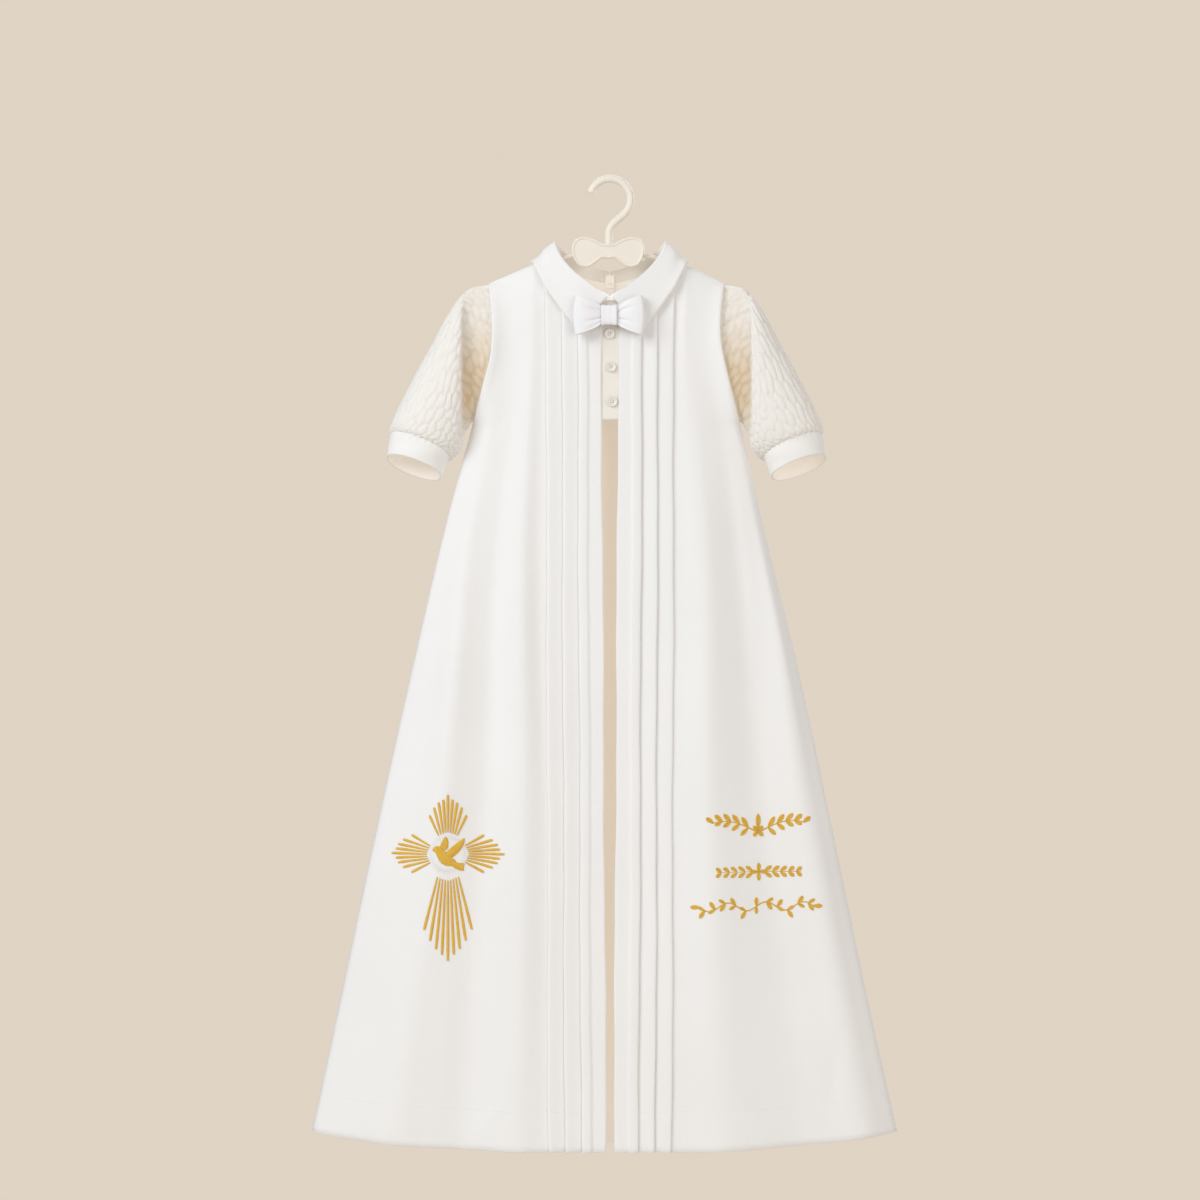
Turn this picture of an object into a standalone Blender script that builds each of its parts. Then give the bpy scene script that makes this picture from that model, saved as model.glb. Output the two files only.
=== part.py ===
"""Christening gown on a child's hanger: an open-front robe with knife tucks, smocked sleeves and a bow.

Frame: metres, +Z up, the front of the gown faces -Y. The origin is the point where the hook hangs.
Left and right are as seen from the front.
Cloth is a wall of even thickness. A wall is worked out as its middle surface, a grid of columns across
and rows down, and its two faces are that grid moved half the thickness each way.
"""

import bpy
import bmesh
import math
import numpy as np
from mathutils import Vector

# Cloth and clearances
CLOTH = 0.0011
COLLAR_CLOTH = 0.0014
CUFF_CLOTH = 0.0016
SLEEVE_CLOTH = 0.0012
RIBBON = 0.0010
SEAM_GAP = 0.0003
LAYER_GAP = 0.0004
HARD_EDGE_ANGLE = 40.0
SOFT_EDGE_ANGLE = 60.0

# Body of the gown
SHOULDER_TIP_Z = -0.1022
UNDERARM_Z = -0.2440
NECK_HALF_WIDTH = 0.0625
NECK_POINT_Z = -0.0765
FRONT_NECK_Z = -0.1220
BACK_NECK_Z = -0.1010
FRONT_NECK_DEPTH = 0.0240
TUCK_BULK_END = 0.0780
TUCK_TOP_DROP = 0.0060
TUCK_END_DROP = 0.0025
BACK_NECK_DEPTH = 0.0170
HEM_CENTRE_Z = -0.9716
HEM_RISE = 0.0150
SHOULDER_ROUND = 0.060
ARMHOLE_FRONT = 0.0170
ARMHOLE_BACK = 0.0140
ARMHOLE_FULLNESS = 0.55
ARMHOLE_REACH = 10
NECKLINE_CURVE = 1.1
HEM_CURVE = 2.6
SECTION_CURVE = (2.2, 0.6)

# Distance of the armhole edge, and below it the side seam, from the front opening's centre
EDGE_COLUMNS = ("z", "left", "right")
EDGE = (
    (-0.1022, 0.1220, 0.1150),
    (-0.1310, 0.1190, 0.1115),
    (-0.1570, 0.1183, 0.1110),
    (-0.1790, 0.1206, 0.1145),
    (-0.2030, 0.1270, 0.1203),
    (-0.2440, 0.1380, 0.1310),
    (-0.3410, 0.1642, 0.1532),
    (-0.4820, 0.1974, 0.1875),
    (-0.6630, 0.2377, 0.2262),
    (-0.8440, 0.2762, 0.2640),
    (-0.9560, 0.3002, 0.2893),
)

# How far the cloth stands forward and back of the shoulder line
DEPTH_COLUMNS = ("z", "front", "back")
DEPTH = (
    (-0.0760, 0.0220, 0.0195),
    (-0.2440, 0.0235, 0.0190),
    (-0.4500, 0.0300, 0.0205),
    (-0.7000, 0.0380, 0.0240),
    (-0.9720, 0.0450, 0.0280),
)

# Knife tucks: place of each fold edge at the neck and at the hem, from the opening outwards
TUCKS = (
    (0.0322, 0.0280),
    (0.0480, 0.0446),
    (0.0640, 0.0612),
)
OPENING_EDGE = (0.0089, 0.0038)
TUCK_UNDERLAP = 0.0080
TUCK_FLAT = 0.0045
LAYER_PITCH = CLOTH + LAYER_GAP

# Columns of the cloth beside the folds: distance past the fold edge and how many layers back
BEFORE_FIRST_FOLD = ((-0.0170, 1.0), (-0.0100, 0.9), (-0.0075, 0.05))
UNDER_FOLD = (0.0006, 2.0)
BETWEEN_FOLDS = ((0.0052, 1.1), (0.0086, 0.05))
PLAIN_PART_RISE = 0.26

# Large soft folds of each panel: place across it, spread and height
FOLDS = (
    ("left", 0.12, 0.09, 0.0035),
    ("left", 0.36, 0.10, -0.0040),
    ("left", 0.64, 0.12, 0.0060),
    ("right", 0.18, 0.10, 0.0060),
    ("right", 0.56, 0.14, -0.0050),
    ("right", 0.83, 0.09, 0.0040),
    ("back", 0.00, 0.10, -0.0030),
    ("back", 0.24, 0.11, 0.0060),
    ("back", 0.46, 0.10, -0.0040),
    ("back", 0.68, 0.12, 0.0055),
)
FOLDS_START_Z = -0.200
FOLDS_FULL_Z = -0.800
FOLDS_END = 0.86

# Rows down a panel, as shares of its height, and those that the straight tucks use
ROWS = (0.0, 0.0008, 0.003, 0.008, 0.02, 0.045, 0.075, 0.105, 0.135, 0.150, 0.161, 0.166,
        0.22, 0.30, 0.42, 0.56, 0.70, 0.85, 1.0)
UNDERARM_ROW = 11
TUCK_ROWS = (0, 3, 5, 7, 11, 13, 15, 17, 18)
PANEL_ACROSS = (0.06, 0.13, 0.23, 0.34, 0.46, 0.58, 0.69, 0.79, 0.875, 0.94, 0.98, 1.0)
BACK_NECK_ACROSS = (0.0, 0.22, 0.43, 0.63, 0.82, 0.94)
BACK_SHOULDER_ACROSS = (0.0, 0.16, 0.36, 0.56, 0.74, 0.89, 0.965, 1.0)

# Sleeve: the line that the two sleeves mirror about, and its sections from armhole to cuff.
# Top and bottom are points in the upright plane of the shoulders, out from that line and up.
SLEEVE_AXIS_X = -0.0035
SLEEVE_COLUMNS = ("top_out", "top_z", "bottom_out", "bottom_z", "depth", "tilt")
SLEEVE = (
    (0.1145, -0.1060, 0.1300, -0.2400, 0.0000, 0.0),
    (0.1260, -0.1040, 0.1350, -0.2412, 0.0000, 0.0),
    (0.1376, -0.1074, 0.1397, -0.2467, 0.0140, 0.0),
    (0.1487, -0.1185, 0.1427, -0.2507, 0.0225, 2.0),
    (0.1608, -0.1367, 0.1441, -0.2537, 0.0265, 5.0),
    (0.1740, -0.1619, 0.1457, -0.2588, 0.0285, 8.0),
    (0.1871, -0.1851, 0.1467, -0.2648, 0.0295, 11.0),
    (0.1992, -0.2083, 0.1487, -0.2699, 0.0300, 13.0),
    (0.2093, -0.2285, 0.1518, -0.2739, 0.0295, 15.0),
    (0.2173, -0.2477, 0.1560, -0.2772, 0.0275, 17.0),
    (0.2164, -0.2541, 0.1591, -0.2779, 0.0245, 18.0),
)
SLEEVE_HEAD = (-0.0035, 0.0022)
SLEEVE_HEAD_EASE = 0.0012
SLEEVE_HEAD_RIM_ANGLE = 25.0
SLEEVE_FULLNESS = 0.85
SLEEVE_AROUND = 40
SLEEVE_ROWS = 23
SMOCK_RELIEF = 0.0012
GATHER_RELIEF = 0.0009
HEAD_PLAIN_ROWS = 2
HEAD_GATHER_ROWS = 3
CUFF_GATHER_ROWS = 2
CUFF_END_RELIEF = 0.4

# Cuff
CUFF_END = (0.2211, -0.2773, 0.1672, -0.2971, 0.0235, 18.0)
CUFF_ROWS = (0.016, 0.5, 1.0)
CUFF_AROUND = 28

# Collar: outer edge of the fall, from its front point round the shoulder to the centre back
ROLL_HALF_WIDTH = 0.0558
ROLL_FRONT_Z = -0.1160
ROLL_TOP_Z = -0.0625
ROLL_BACK_Z = -0.0890
ROLL_FRONT_DEPTH = 0.0255
ROLL_BACK_DEPTH = 0.0180
ROLL_DROP = 0.0019
ROLL_CROWN = 0.0013
ROLL_WIDTH = 0.0026
COLLAR_LIFT = 0.0030
COLLAR_SHOULDER_LIFT = 0.0022
COLLAR_COLUMNS = ("angle", "out", "z")
COLLAR_EDGE = (
    (0.0, 0.0310, -0.1505),
    (22.0, 0.0405, -0.1395),
    (45.0, 0.0505, -0.1270),
    (67.0, 0.0640, -0.1070),
    (90.0, 0.0775, -0.0795),
    (112.0, 0.0700, -0.0925),
    (135.0, 0.0525, -0.1100),
    (158.0, 0.0290, -0.1200),
    (180.0, 0.0060, -0.1225),
)
COLLAR_STEPS = 23
COLLAR_FALL_SHARES = (0.33, 0.66)
COLLAR_ROUND_OUT = 0.0010
COLLAR_ROUND_UP = 0.0005
COLLAR_SEAM_LIFT = (0.0012, 0.0009)
NORMAL_STEP = 0.0004
CLEARING_STEPS = 6
COLLAR_FRONT_GAP = 0.0040
COLLAR_BACK_GAP = 0.0006

# Front placket with its buttons, and the strip and tab inside the back of the neck
PLACKET_HALF_WIDTH = 0.0185
PLACKET_TOP_Z = -0.1215
PLACKET_BOTTOM_Z = -0.2402
PLACKET_CLOTH = 0.0014
BUTTON_RADIUS = 0.0054
BUTTON_THICKNESS = 0.0021
BUTTON_SIDES = 20
BUTTON_PROFILE = ((0.0, 0.62), (0.62, 0.62), (0.80, 1.0), (0.94, 0.90), (1.0, 0.50), (0.88, 0.0), (0.0, 0.0))
SLOPE_STEP = 0.01
BUTTONS = ((-0.0005, -0.1542), (0.0010, -0.1872), (0.0023, -0.2222))
BACK_STRIP_HALF_WIDTH = 0.0046
BACK_STRIP_BOTTOM_Z = -0.150
BACK_STRIP_CLOTH = 0.0010
NECK_TAB_HALF_WIDTH = 0.0042
NECK_TAB_HEIGHT = 0.0115

# Bow tie
BOW_X = -0.0010
BOW_Y = -0.0311
BOW_Z = -0.1362
WING_REACH = 0.0360
WING_INNER_REACH = 0.0058
KNOT_HALF = (0.0075, 0.0045, 0.0105)
KNOT_CLOTH = 0.0012
WING_COLUMNS = ("reach", "half_depth", "half_height")
WING = (
    (0.0058, 0.00075, 0.0082),
    (0.0082, 0.00110, 0.0088),
    (0.0104, 0.00160, 0.0108),
    (0.0155, 0.00290, 0.0134),
    (0.0230, 0.00400, 0.0165),
    (0.0310, 0.00360, 0.0189),
    (0.0345, 0.00230, 0.0192),
    (0.0360, 0.00000, 0.0190),
)
WING_ROWS = 11
WING_PLEATS = 2.5
WING_PLEAT_DEPTH = 0.0011
WING_PLEATS_END = 0.8
WING_END_BOW = 0.065
KNOT_AROUND = 20
KNOT_ACROSS = (-1.0, -0.4, 0.4, 1.0)
KNOT_WAIST = 0.06
KNOT_ROUNDNESS = 0.6

# Hanger
HOOK_ROD = 0.0039
HOOK_RADIUS = 0.0207
HOOK_TIP_ANGLE = 161.0
HOOK_TURN_ANGLE = -45.0
STEM_X = -0.0014
STEM_TOP_Z = -0.0520
BEND_PULL = 0.0095
HOOK_STEPS = 17
BEND_STEPS = 9
HOOK_SIDES = 12
ARM_SIDES = 10
ARM_ROD = 0.0023
ARM_ROUTE = ((0.0, -0.0715), (0.0300, -0.0728), (0.0450, -0.0760))
ARM_NECK_DIP = 0.0016
ARM_SEAT = 0.0780
ARM_END_SHARE = 0.84
ORNAMENT_X = -0.0019
ORNAMENT_Z = -0.0725
ORNAMENT_BACK_Y = -0.0042
ORNAMENT_THICKNESS = 0.0040
ORNAMENT_RIM = 0.0012

# Section of the plate's edge: distance in from the outline in rims, and share of the thickness
ORNAMENT_RINGS = ((0.5, 0.0), (0.0, 0.35), (0.25, 0.85), (1.0, 1.0), (1.8, 0.92), (2.4, 0.78))

# Outline of the plate's right half: out and up, from the top of its waist round to the bottom
ORNAMENT_LOBE = (
    (0.0000, 0.0098),
    (0.0060, 0.0100),
    (0.0130, 0.0137),
    (0.0220, 0.0168),
    (0.0300, 0.0160),
    (0.0352, 0.0110),
    (0.0366, 0.0040),
    (0.0350, -0.0040),
    (0.0312, -0.0105),
    (0.0270, -0.0130),
    (0.0200, -0.0135),
    (0.0120, -0.0088),
    (0.0060, -0.0042),
    (0.0000, -0.0052),
)

SIDES = (("left", -1.0), ("right", 1.0))


def smooth_step(value):
    """0 below 0, 1 above 1 and an S-shaped rise between."""
    value = np.clip(value, 0.0, 1.0)
    return value * value * (3.0 - 2.0 * value)


def read_table(table, names, at, column):
    """Reads one named column of a table at a value of its first column, on a smooth curve."""
    rows = sorted(table)
    key = np.array([row[0] for row in rows])
    data = np.array([row[names.index(column)] for row in rows])
    slope = np.gradient(data, key)
    at = np.clip(at, key[0], key[-1])
    place = np.clip(np.searchsorted(key, at) - 1, 0, len(key) - 2)
    span = key[place + 1] - key[place]
    part = (at - key[place]) / span
    start = data[place] * (1 + 2 * part) * (1 - part) ** 2 + slope[place] * span * part * (1 - part) ** 2
    end = data[place + 1] * (3 - 2 * part) * part ** 2 - slope[place + 1] * span * part ** 2 * (1 - part)
    return start + end


def read_sections(table, names, share):
    """Reads all columns of a table of evenly numbered sections at a share of the way along it."""
    numbered = [(float(number),) + row for number, row in enumerate(table)]
    columns = ("number",) + names
    number = share * (len(table) - 1)
    return {name: float(read_table(numbered, columns, number, name)) for name in names}


def material(name, colour, roughness):
    """A plain finish of one colour."""
    finish = bpy.data.materials.new(name)
    finish.use_nodes = True
    shader = finish.node_tree.nodes["Principled BSDF"]
    shader.inputs["Base Color"].default_value = (*colour, 1.0)
    shader.inputs["Roughness"].default_value = roughness
    shader.inputs["Metallic"].default_value = 0.0
    return finish


def add_solid(name, points, faces, finish, sharp_angle=HARD_EDGE_ANGLE):
    """Makes one closed mesh object with its faces pointing out."""
    mesh = bpy.data.meshes.new(name)
    mesh.from_pydata([tuple(point) for point in points], [], faces)
    form = bmesh.new()
    form.from_mesh(mesh)
    bmesh.ops.recalc_face_normals(form, faces=form.faces)
    form.to_mesh(mesh)
    form.free()
    mesh.shade_smooth()
    mesh.set_sharp_from_angle(angle=math.radians(sharp_angle))
    mesh.materials.append(finish)
    solid = bpy.data.objects.new(name, mesh)
    bpy.context.collection.objects.link(solid)
    return solid


def along(grid, axis, closed=False):
    """Unit directions along one axis of a grid of points, halfway between the steps on each side."""
    step = np.roll(grid, -1, axis) - grid
    step /= np.maximum(np.linalg.norm(step, axis=2, keepdims=True), 1e-12)
    before = np.roll(step, 1, axis)
    if not closed:
        last = [slice(None)] * 3
        first = [slice(None)] * 3
        last[axis] = -1
        first[axis] = 0
        step[tuple(last)] = before[tuple(last)]
        before[tuple(first)] = step[tuple(first)]
    total = step + before
    return total / np.maximum(np.linalg.norm(total, axis=2, keepdims=True), 1e-12)


def surface_normals(grid, closed=False):
    """Unit normals of a grid of points, columns first."""
    normal = np.cross(along(grid, 0, closed), along(grid, 1))
    return normal / np.maximum(np.linalg.norm(normal, axis=2, keepdims=True), 1e-12)


def panel_solid(name, middle, normal, thickness, finish, kept=None, sharp_angle=HARD_EDGE_ANGLE):
    """A wall over an open grid. A column may keep only some of the rows."""
    columns, rows = middle.shape[:2]
    kept = kept or [range(rows)] * columns
    points = []
    number = {}
    for face, sign in (("outer", 0.5), ("inner", -0.5)):
        for column in range(columns):
            for row in kept[column]:
                number[face, column, row] = len(points)
                points.append(middle[column, row] + normal[column, row] * thickness * sign)
    faces = []
    for column in range(columns - 1):
        shared = sorted(set(kept[column]) & set(kept[column + 1]))
        for start, end in zip(shared, shared[1:]):
            left = [row for row in kept[column] if start <= row <= end]
            right = [row for row in kept[column + 1] if start <= row <= end]
            for face in ("outer", "inner"):
                ring = [number[face, column, row] for row in left]
                ring += [number[face, column + 1, row] for row in reversed(right)]
                faces.append(ring if face == "outer" else ring[::-1])
        for row in (0, rows - 1):
            faces.append([number["outer", column, row], number["outer", column + 1, row],
                          number["inner", column + 1, row], number["inner", column, row]])
    for column in (0, columns - 1):
        for start, end in zip(kept[column], kept[column][1:]):
            faces.append([number["outer", column, start], number["outer", column, end],
                          number["inner", column, end], number["inner", column, start]])
    return add_solid(name, points, faces, finish, sharp_angle)


def tube_solid(name, outer, inner, finish, sharp_angle=HARD_EDGE_ANGLE):
    """A wall round a hollow, open at both ends. The outer grid may be finer than the inner one."""
    points = []
    number = {}
    for face, grid in (("outer", outer), ("inner", inner)):
        for column in range(grid.shape[0]):
            for row in range(grid.shape[1]):
                number[face, column, row] = len(points)
                points.append(grid[column, row])
    faces = []
    for face, grid in (("outer", outer), ("inner", inner)):
        for column in range(grid.shape[0]):
            following = (column + 1) % grid.shape[0]
            for row in range(grid.shape[1] - 1):
                ring = [number[face, column, row], number[face, column, row + 1],
                        number[face, following, row + 1], number[face, following, row]]
                faces.append(ring if face == "outer" else ring[::-1])
    ratio = outer.shape[0] // inner.shape[0]
    for column in range(inner.shape[0]):
        following = (column + 1) % inner.shape[0]
        for outer_row, inner_row in ((0, 0), (outer.shape[1] - 1, inner.shape[1] - 1)):
            ring = [number["outer", (column * ratio + step) % outer.shape[0], outer_row]
                    for step in range(ratio + 1)]
            ring += [number["inner", following, inner_row], number["inner", column, inner_row]]
            faces.append(ring)
    return add_solid(name, points, faces, finish, sharp_angle)


def edge_distance(side, z):
    """Distance of the armhole edge or side seam from the centre at a height."""
    return read_table(EDGE, EDGE_COLUMNS, z, side)


def neck_angle(out):
    """Angle round the neck at a distance from the centre."""
    return np.arcsin(np.clip(out / NECK_HALF_WIDTH, 0.0, 1.0))


def top_height(face, side, out):
    """Height of a panel's top edge: the neckline, then the shoulder line."""
    centre = FRONT_NECK_Z if face == "front" else BACK_NECK_Z
    neckline = centre + (NECK_POINT_Z - centre) * (neck_angle(out) / (math.pi / 2)) ** NECKLINE_CURVE
    tip = edge_distance(side, SHOULDER_TIP_Z)
    down = np.clip((out - NECK_HALF_WIDTH) / (tip - NECK_HALF_WIDTH), 0.0, 1.0)
    shoulder = NECK_POINT_Z + (SHOULDER_TIP_Z - NECK_POINT_Z) * down
    return np.where(out < NECK_HALF_WIDTH, neckline, shoulder)


def armhole_depth(face, z):
    """How far the armhole's edge stands from the plane of the shoulder seam."""
    down = (SHOULDER_TIP_Z - z) / (SHOULDER_TIP_Z - UNDERARM_Z)
    reach = ARMHOLE_FRONT if face == "front" else ARMHOLE_BACK
    return reach * np.clip(np.sin(math.pi * np.clip(down, 0.0, 1.0)), 0.0, 1.0) ** ARMHOLE_FULLNESS


def tuck_bulk(out):
    """Least depth of a front panel, so that the layers of its tucks pass in front of the hanger's arm."""
    layers = 2.0 * LAYER_PITCH + CLOTH / 2 + SEAM_GAP + ARM_ROD
    start = TUCKS[-1][0] + CLOTH
    return layers * (1.0 - smooth_step((out - start) / (TUCK_BULK_END - start)))


def body_depth(face, side, out, z):
    """Distance of the cloth from the plane of the shoulder seams, before the soft folds."""
    across = np.clip(out / edge_distance(side, z), 0.0, 1.0)
    full = read_table(DEPTH, DEPTH_COLUMNS, z, face)
    neck = FRONT_NECK_DEPTH if face == "front" else BACK_NECK_DEPTH
    drop = np.clip(top_height(face, side, out) - z, 0.0, SHOULDER_ROUND)
    turned = np.sqrt(1.0 - (1.0 - drop / SHOULDER_ROUND) ** 2)
    lens = (1.0 - across ** SECTION_CURVE[0]) ** SECTION_CURVE[1]
    depth = neck * np.cos(neck_angle(out)) * (1.0 - turned) + full * lens * turned
    if face == "front":
        depth = np.maximum(depth, tuck_bulk(out))
    return depth + armhole_depth(face, z) * across ** ARMHOLE_REACH


def fold_height(panel, place, z):
    """Height of the large soft folds at a place across a panel."""
    total = 0.0
    for name, centre, spread, height in FOLDS:
        if name == panel:
            total = total + height * np.exp(-((place - centre) / spread) ** 2)
    grown = smooth_step((FOLDS_START_Z - z) / (FOLDS_START_Z - FOLDS_FULL_Z))
    edge = 1.0 - smooth_step((place - FOLDS_END) / (1.0 - FOLDS_END))
    return total * grown * edge


def hem_height(across):
    """Height of the hem, which rises towards the side seams."""
    return HEM_CENTRE_Z + HEM_RISE * np.abs(across) ** HEM_CURVE


def half_turn(inward):
    """Points of a fold's half circle: steps along the cloth and back from its face."""
    radius = LAYER_PITCH / 2
    angles = np.radians([-90.0, -30.0, 30.0, 90.0])
    reach = -1.0 if inward else 1.0
    return [(reach * radius * math.cos(angle), radius + radius * math.sin(angle)) for angle in angles]


def tuck_columns():
    """Columns of a front panel's tucked part: number of the fold, distance past it, distance back."""
    pitch = LAYER_PITCH
    columns = [(0, past, layers * pitch) for past, layers in BEFORE_FIRST_FOLD]
    for fold in range(len(TUCKS)):
        columns.append((fold, -TUCK_FLAT, 0.0))
        columns += [(fold, step - pitch / 2, back) for step, back in half_turn(False)]
        columns.append((fold, -TUCK_FLAT, pitch))
        columns += [(fold, step - TUCK_UNDERLAP, back + pitch) for step, back in half_turn(True)]
        columns.append((fold, UNDER_FOLD[0], UNDER_FOLD[1] * pitch))
        if fold + 1 < len(TUCKS):
            columns += [(fold, past, layers * pitch) for past, layers in BETWEEN_FOLDS]
    return columns


def front_panel_grid(side):
    """Middle surface of a front panel, from the opening to the side seam, and its normals."""
    sign = dict(SIDES)[side]
    tip = float(edge_distance(side, SHOULDER_TIP_Z))
    rows = np.array(ROWS)
    grid = []
    columns = [(None, 0.0, LAYER_PITCH)] + tuck_columns()
    for number, (fold, past, back) in enumerate(columns):
        last = number + 1 == len(columns)
        drop = TUCK_END_DROP if last else TUCK_TOP_DROP
        ends = OPENING_EDGE if fold is None else TUCKS[fold]
        out_top = ends[0] + past
        out_hem = ends[1] + past
        top = min(float(top_height("front", side, out_top)), NECK_POINT_Z - drop)
        hem = float(hem_height(out_hem / edge_distance(side, HEM_CENTRE_Z)))
        z = top + rows * (hem - top)
        out = out_top + rows * (out_hem - out_top)
        depth = body_depth("front", side, out, z) - back
        grid.append(np.stack([sign * out, -depth, z], axis=1))
    start_top, start_hem = (end + UNDER_FOLD[0] for end in TUCKS[-1])
    hem_edge = float(edge_distance(side, HEM_CENTRE_Z))
    for share in PANEL_ACROSS:
        out_top = start_top + (tip - start_top) * share
        top = float(top_height("front", side, out_top))
        hem = float(hem_height((start_hem + (hem_edge - start_hem) * share) / hem_edge))
        z = top + rows * (hem - top)
        start = start_top + rows * (start_hem - start_top)
        out = start + (edge_distance(side, z) - start) * share
        back = UNDER_FOLD[1] * LAYER_PITCH * (1.0 - smooth_step(share / PLAIN_PART_RISE))
        depth = body_depth("front", side, out, z) - back + fold_height(side, share, z)
        depth = np.maximum(depth, SEAM_GAP / 2)
        grid.append(np.stack([sign * out, -depth, z], axis=1))
    grid = np.array(grid)
    return grid, panel_normals(grid, len(columns), -1.0, sign)


def panel_normals(grid, first_shoulder_column, facing, sign):
    """Normals of a body panel, turned square to the seams along the shoulder and the side."""
    normal = surface_normals(grid)
    middle = normal[len(grid) // 2, len(ROWS) // 2]
    if middle[1] * facing < 0.0:
        normal = -normal
    for row in range(UNDERARM_ROW, len(ROWS)):
        above = grid[-1, max(row - 1, UNDERARM_ROW)]
        below = grid[-1, min(row + 1, len(ROWS) - 1)]
        normal[-1, row] = square_to(below - above, sign)
    for column in range(first_shoulder_column, len(grid)):
        before = grid[max(column - 1, first_shoulder_column), 0]
        after = grid[min(column + 1, len(grid) - 1), 0]
        normal[column, 0] = square_to(after - before, sign)
        grid[column, 0, 1] = facing * SEAM_GAP / 2
    grid[-1, UNDERARM_ROW:, 1] = facing * SEAM_GAP / 2
    return normal


def square_to(line, sign):
    """Unit direction in the plane of the shoulders, square to a seam and pointing out of the gown."""
    square = np.array([line[2], 0.0, -line[0]])
    square /= np.linalg.norm(square)
    outward = sign * square[0] + square[2] / 3
    return square if outward > 0.0 else -square


def back_half_grid(side):
    """Middle surface of one half of the back panel, from the centre to the side seam."""
    sign = dict(SIDES)[side]
    tip = float(edge_distance(side, SHOULDER_TIP_Z))
    rows = np.array(ROWS)
    neck = NECK_HALF_WIDTH / tip
    shares = [neck * share for share in BACK_NECK_ACROSS]
    shares += [neck + (1.0 - neck) * share for share in BACK_SHOULDER_ACROSS]
    grid = []
    for share in shares:
        top = float(top_height("back", side, tip * share))
        hem = float(hem_height(share))
        z = top + rows * (hem - top)
        out = edge_distance(side, z) * share
        depth = body_depth("back", side, out, z) + fold_height("back", share, z)
        depth = np.maximum(depth, SEAM_GAP / 2)
        grid.append(np.stack([sign * out, depth, z], axis=1))
    grid = np.array(grid)
    return grid, panel_normals(grid, len(BACK_NECK_ACROSS), 1.0, sign)


def back_panel_grid():
    """Middle surface and normals of the whole back panel."""
    left, left_normal = back_half_grid("left")
    right, right_normal = back_half_grid("right")
    centre = (left_normal[0] + right_normal[0]) / 2
    centre[:, 0] = 0.0
    centre /= np.linalg.norm(centre, axis=1, keepdims=True)
    right_normal[0] = centre
    grid = np.concatenate([left[:0:-1], right])
    return grid, np.concatenate([left_normal[:0:-1], right_normal])


def make_body(cloth):
    """The two front panels with their tucks, and the back panel."""
    for side, _ in SIDES:
        grid, normal = front_panel_grid(side)
        tucked = len(grid) - len(PANEL_ACROSS)
        kept = [list(TUCK_ROWS)] * tucked + [list(range(len(ROWS)))] * len(PANEL_ACROSS)
        panel_solid("front_" + side, grid, normal, CLOTH, cloth, kept)
    grid, normal = back_panel_grid()
    panel_solid("back_panel", grid, normal, CLOTH, cloth)


def sleeve_section(row, around):
    """Ring of points of one sleeve or cuff section, front first, in the left sleeve's place."""
    angles = 2.0 * math.pi * np.arange(around) / around
    top = np.array([row["top_out"], row["top_z"]])
    bottom = np.array([row["bottom_out"], row["bottom_z"]])
    half = (top - bottom) / 2
    reach = np.linalg.norm(half)
    along_line = half / reach
    outward = np.array([-along_line[1], along_line[0]])
    if outward[1] < 0.0:
        outward = -outward
    place = (top + bottom) / 2 + np.outer(np.cos(angles) * reach, along_line)
    depth = row["depth"] * np.sign(np.sin(angles)) * np.abs(np.sin(angles)) ** SLEEVE_FULLNESS
    place += np.outer(depth * math.tan(math.radians(row["tilt"])), outward)
    return np.stack([SLEEVE_AXIS_X - place[:, 0], -depth, place[:, 1]], axis=1)


def armhole_ring(row, around, past):
    """Ring of points just inside the armhole's edge, which the sleeve's head follows."""
    angles = 2.0 * math.pi * np.arange(around) / around
    z = row["top_z"] + (row["bottom_z"] - row["top_z"]) * (1.0 - np.cos(angles)) / 2
    rim = np.clip(np.abs(np.sin(angles)) / math.sin(math.radians(SLEEVE_HEAD_RIM_ANGLE)), 0.0, 1.0)
    inset = CLOTH / 2 + SLEEVE_CLOTH / 2 + SLEEVE_HEAD_EASE
    front = -np.maximum(armhole_depth("front", z) - inset, LAYER_GAP) * rim
    back = np.maximum(armhole_depth("back", z) - inset, LAYER_GAP) * rim
    out = edge_distance("left", z) + past
    return np.stack([-out, np.where(np.sin(angles) >= 0.0, front, back), z], axis=1)


def sleeve_grid(around, rows):
    """Middle surface of the left sleeve: columns round it, rows from the armhole to the cuff."""
    sections = []
    for number in range(len(SLEEVE)):
        row = read_sections(SLEEVE, SLEEVE_COLUMNS, number / (len(SLEEVE) - 1))
        if number < len(SLEEVE_HEAD):
            sections.append(armhole_ring(row, around, SLEEVE_HEAD[number]))
        else:
            sections.append(sleeve_section(row, around))
    sections = np.array(sections)
    key = np.arange(len(sections), dtype=float)
    slope = np.gradient(sections, key, axis=0)
    rings = []
    for share in np.linspace(0.0, 1.0, rows):
        place = share * (len(sections) - 1)
        low = min(int(place), len(sections) - 2)
        part = place - low
        start = sections[low] * (1 + 2 * part) * (1 - part) ** 2 + slope[low] * part * (1 - part) ** 2
        end = sections[low + 1] * (3 - 2 * part) * part ** 2 - slope[low + 1] * part ** 2 * (1 - part)
        rings.append(start + end)
    return np.transpose(np.array(rings), (1, 0, 2))


def outward_normals(grid):
    """Normals of a closed tube's grid, pointing away from its middle."""
    normal = surface_normals(grid, closed=True)
    centre = grid.mean(axis=0, keepdims=True)
    facing = np.sum((grid - centre) * normal)
    return normal if facing > 0.0 else -normal


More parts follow.
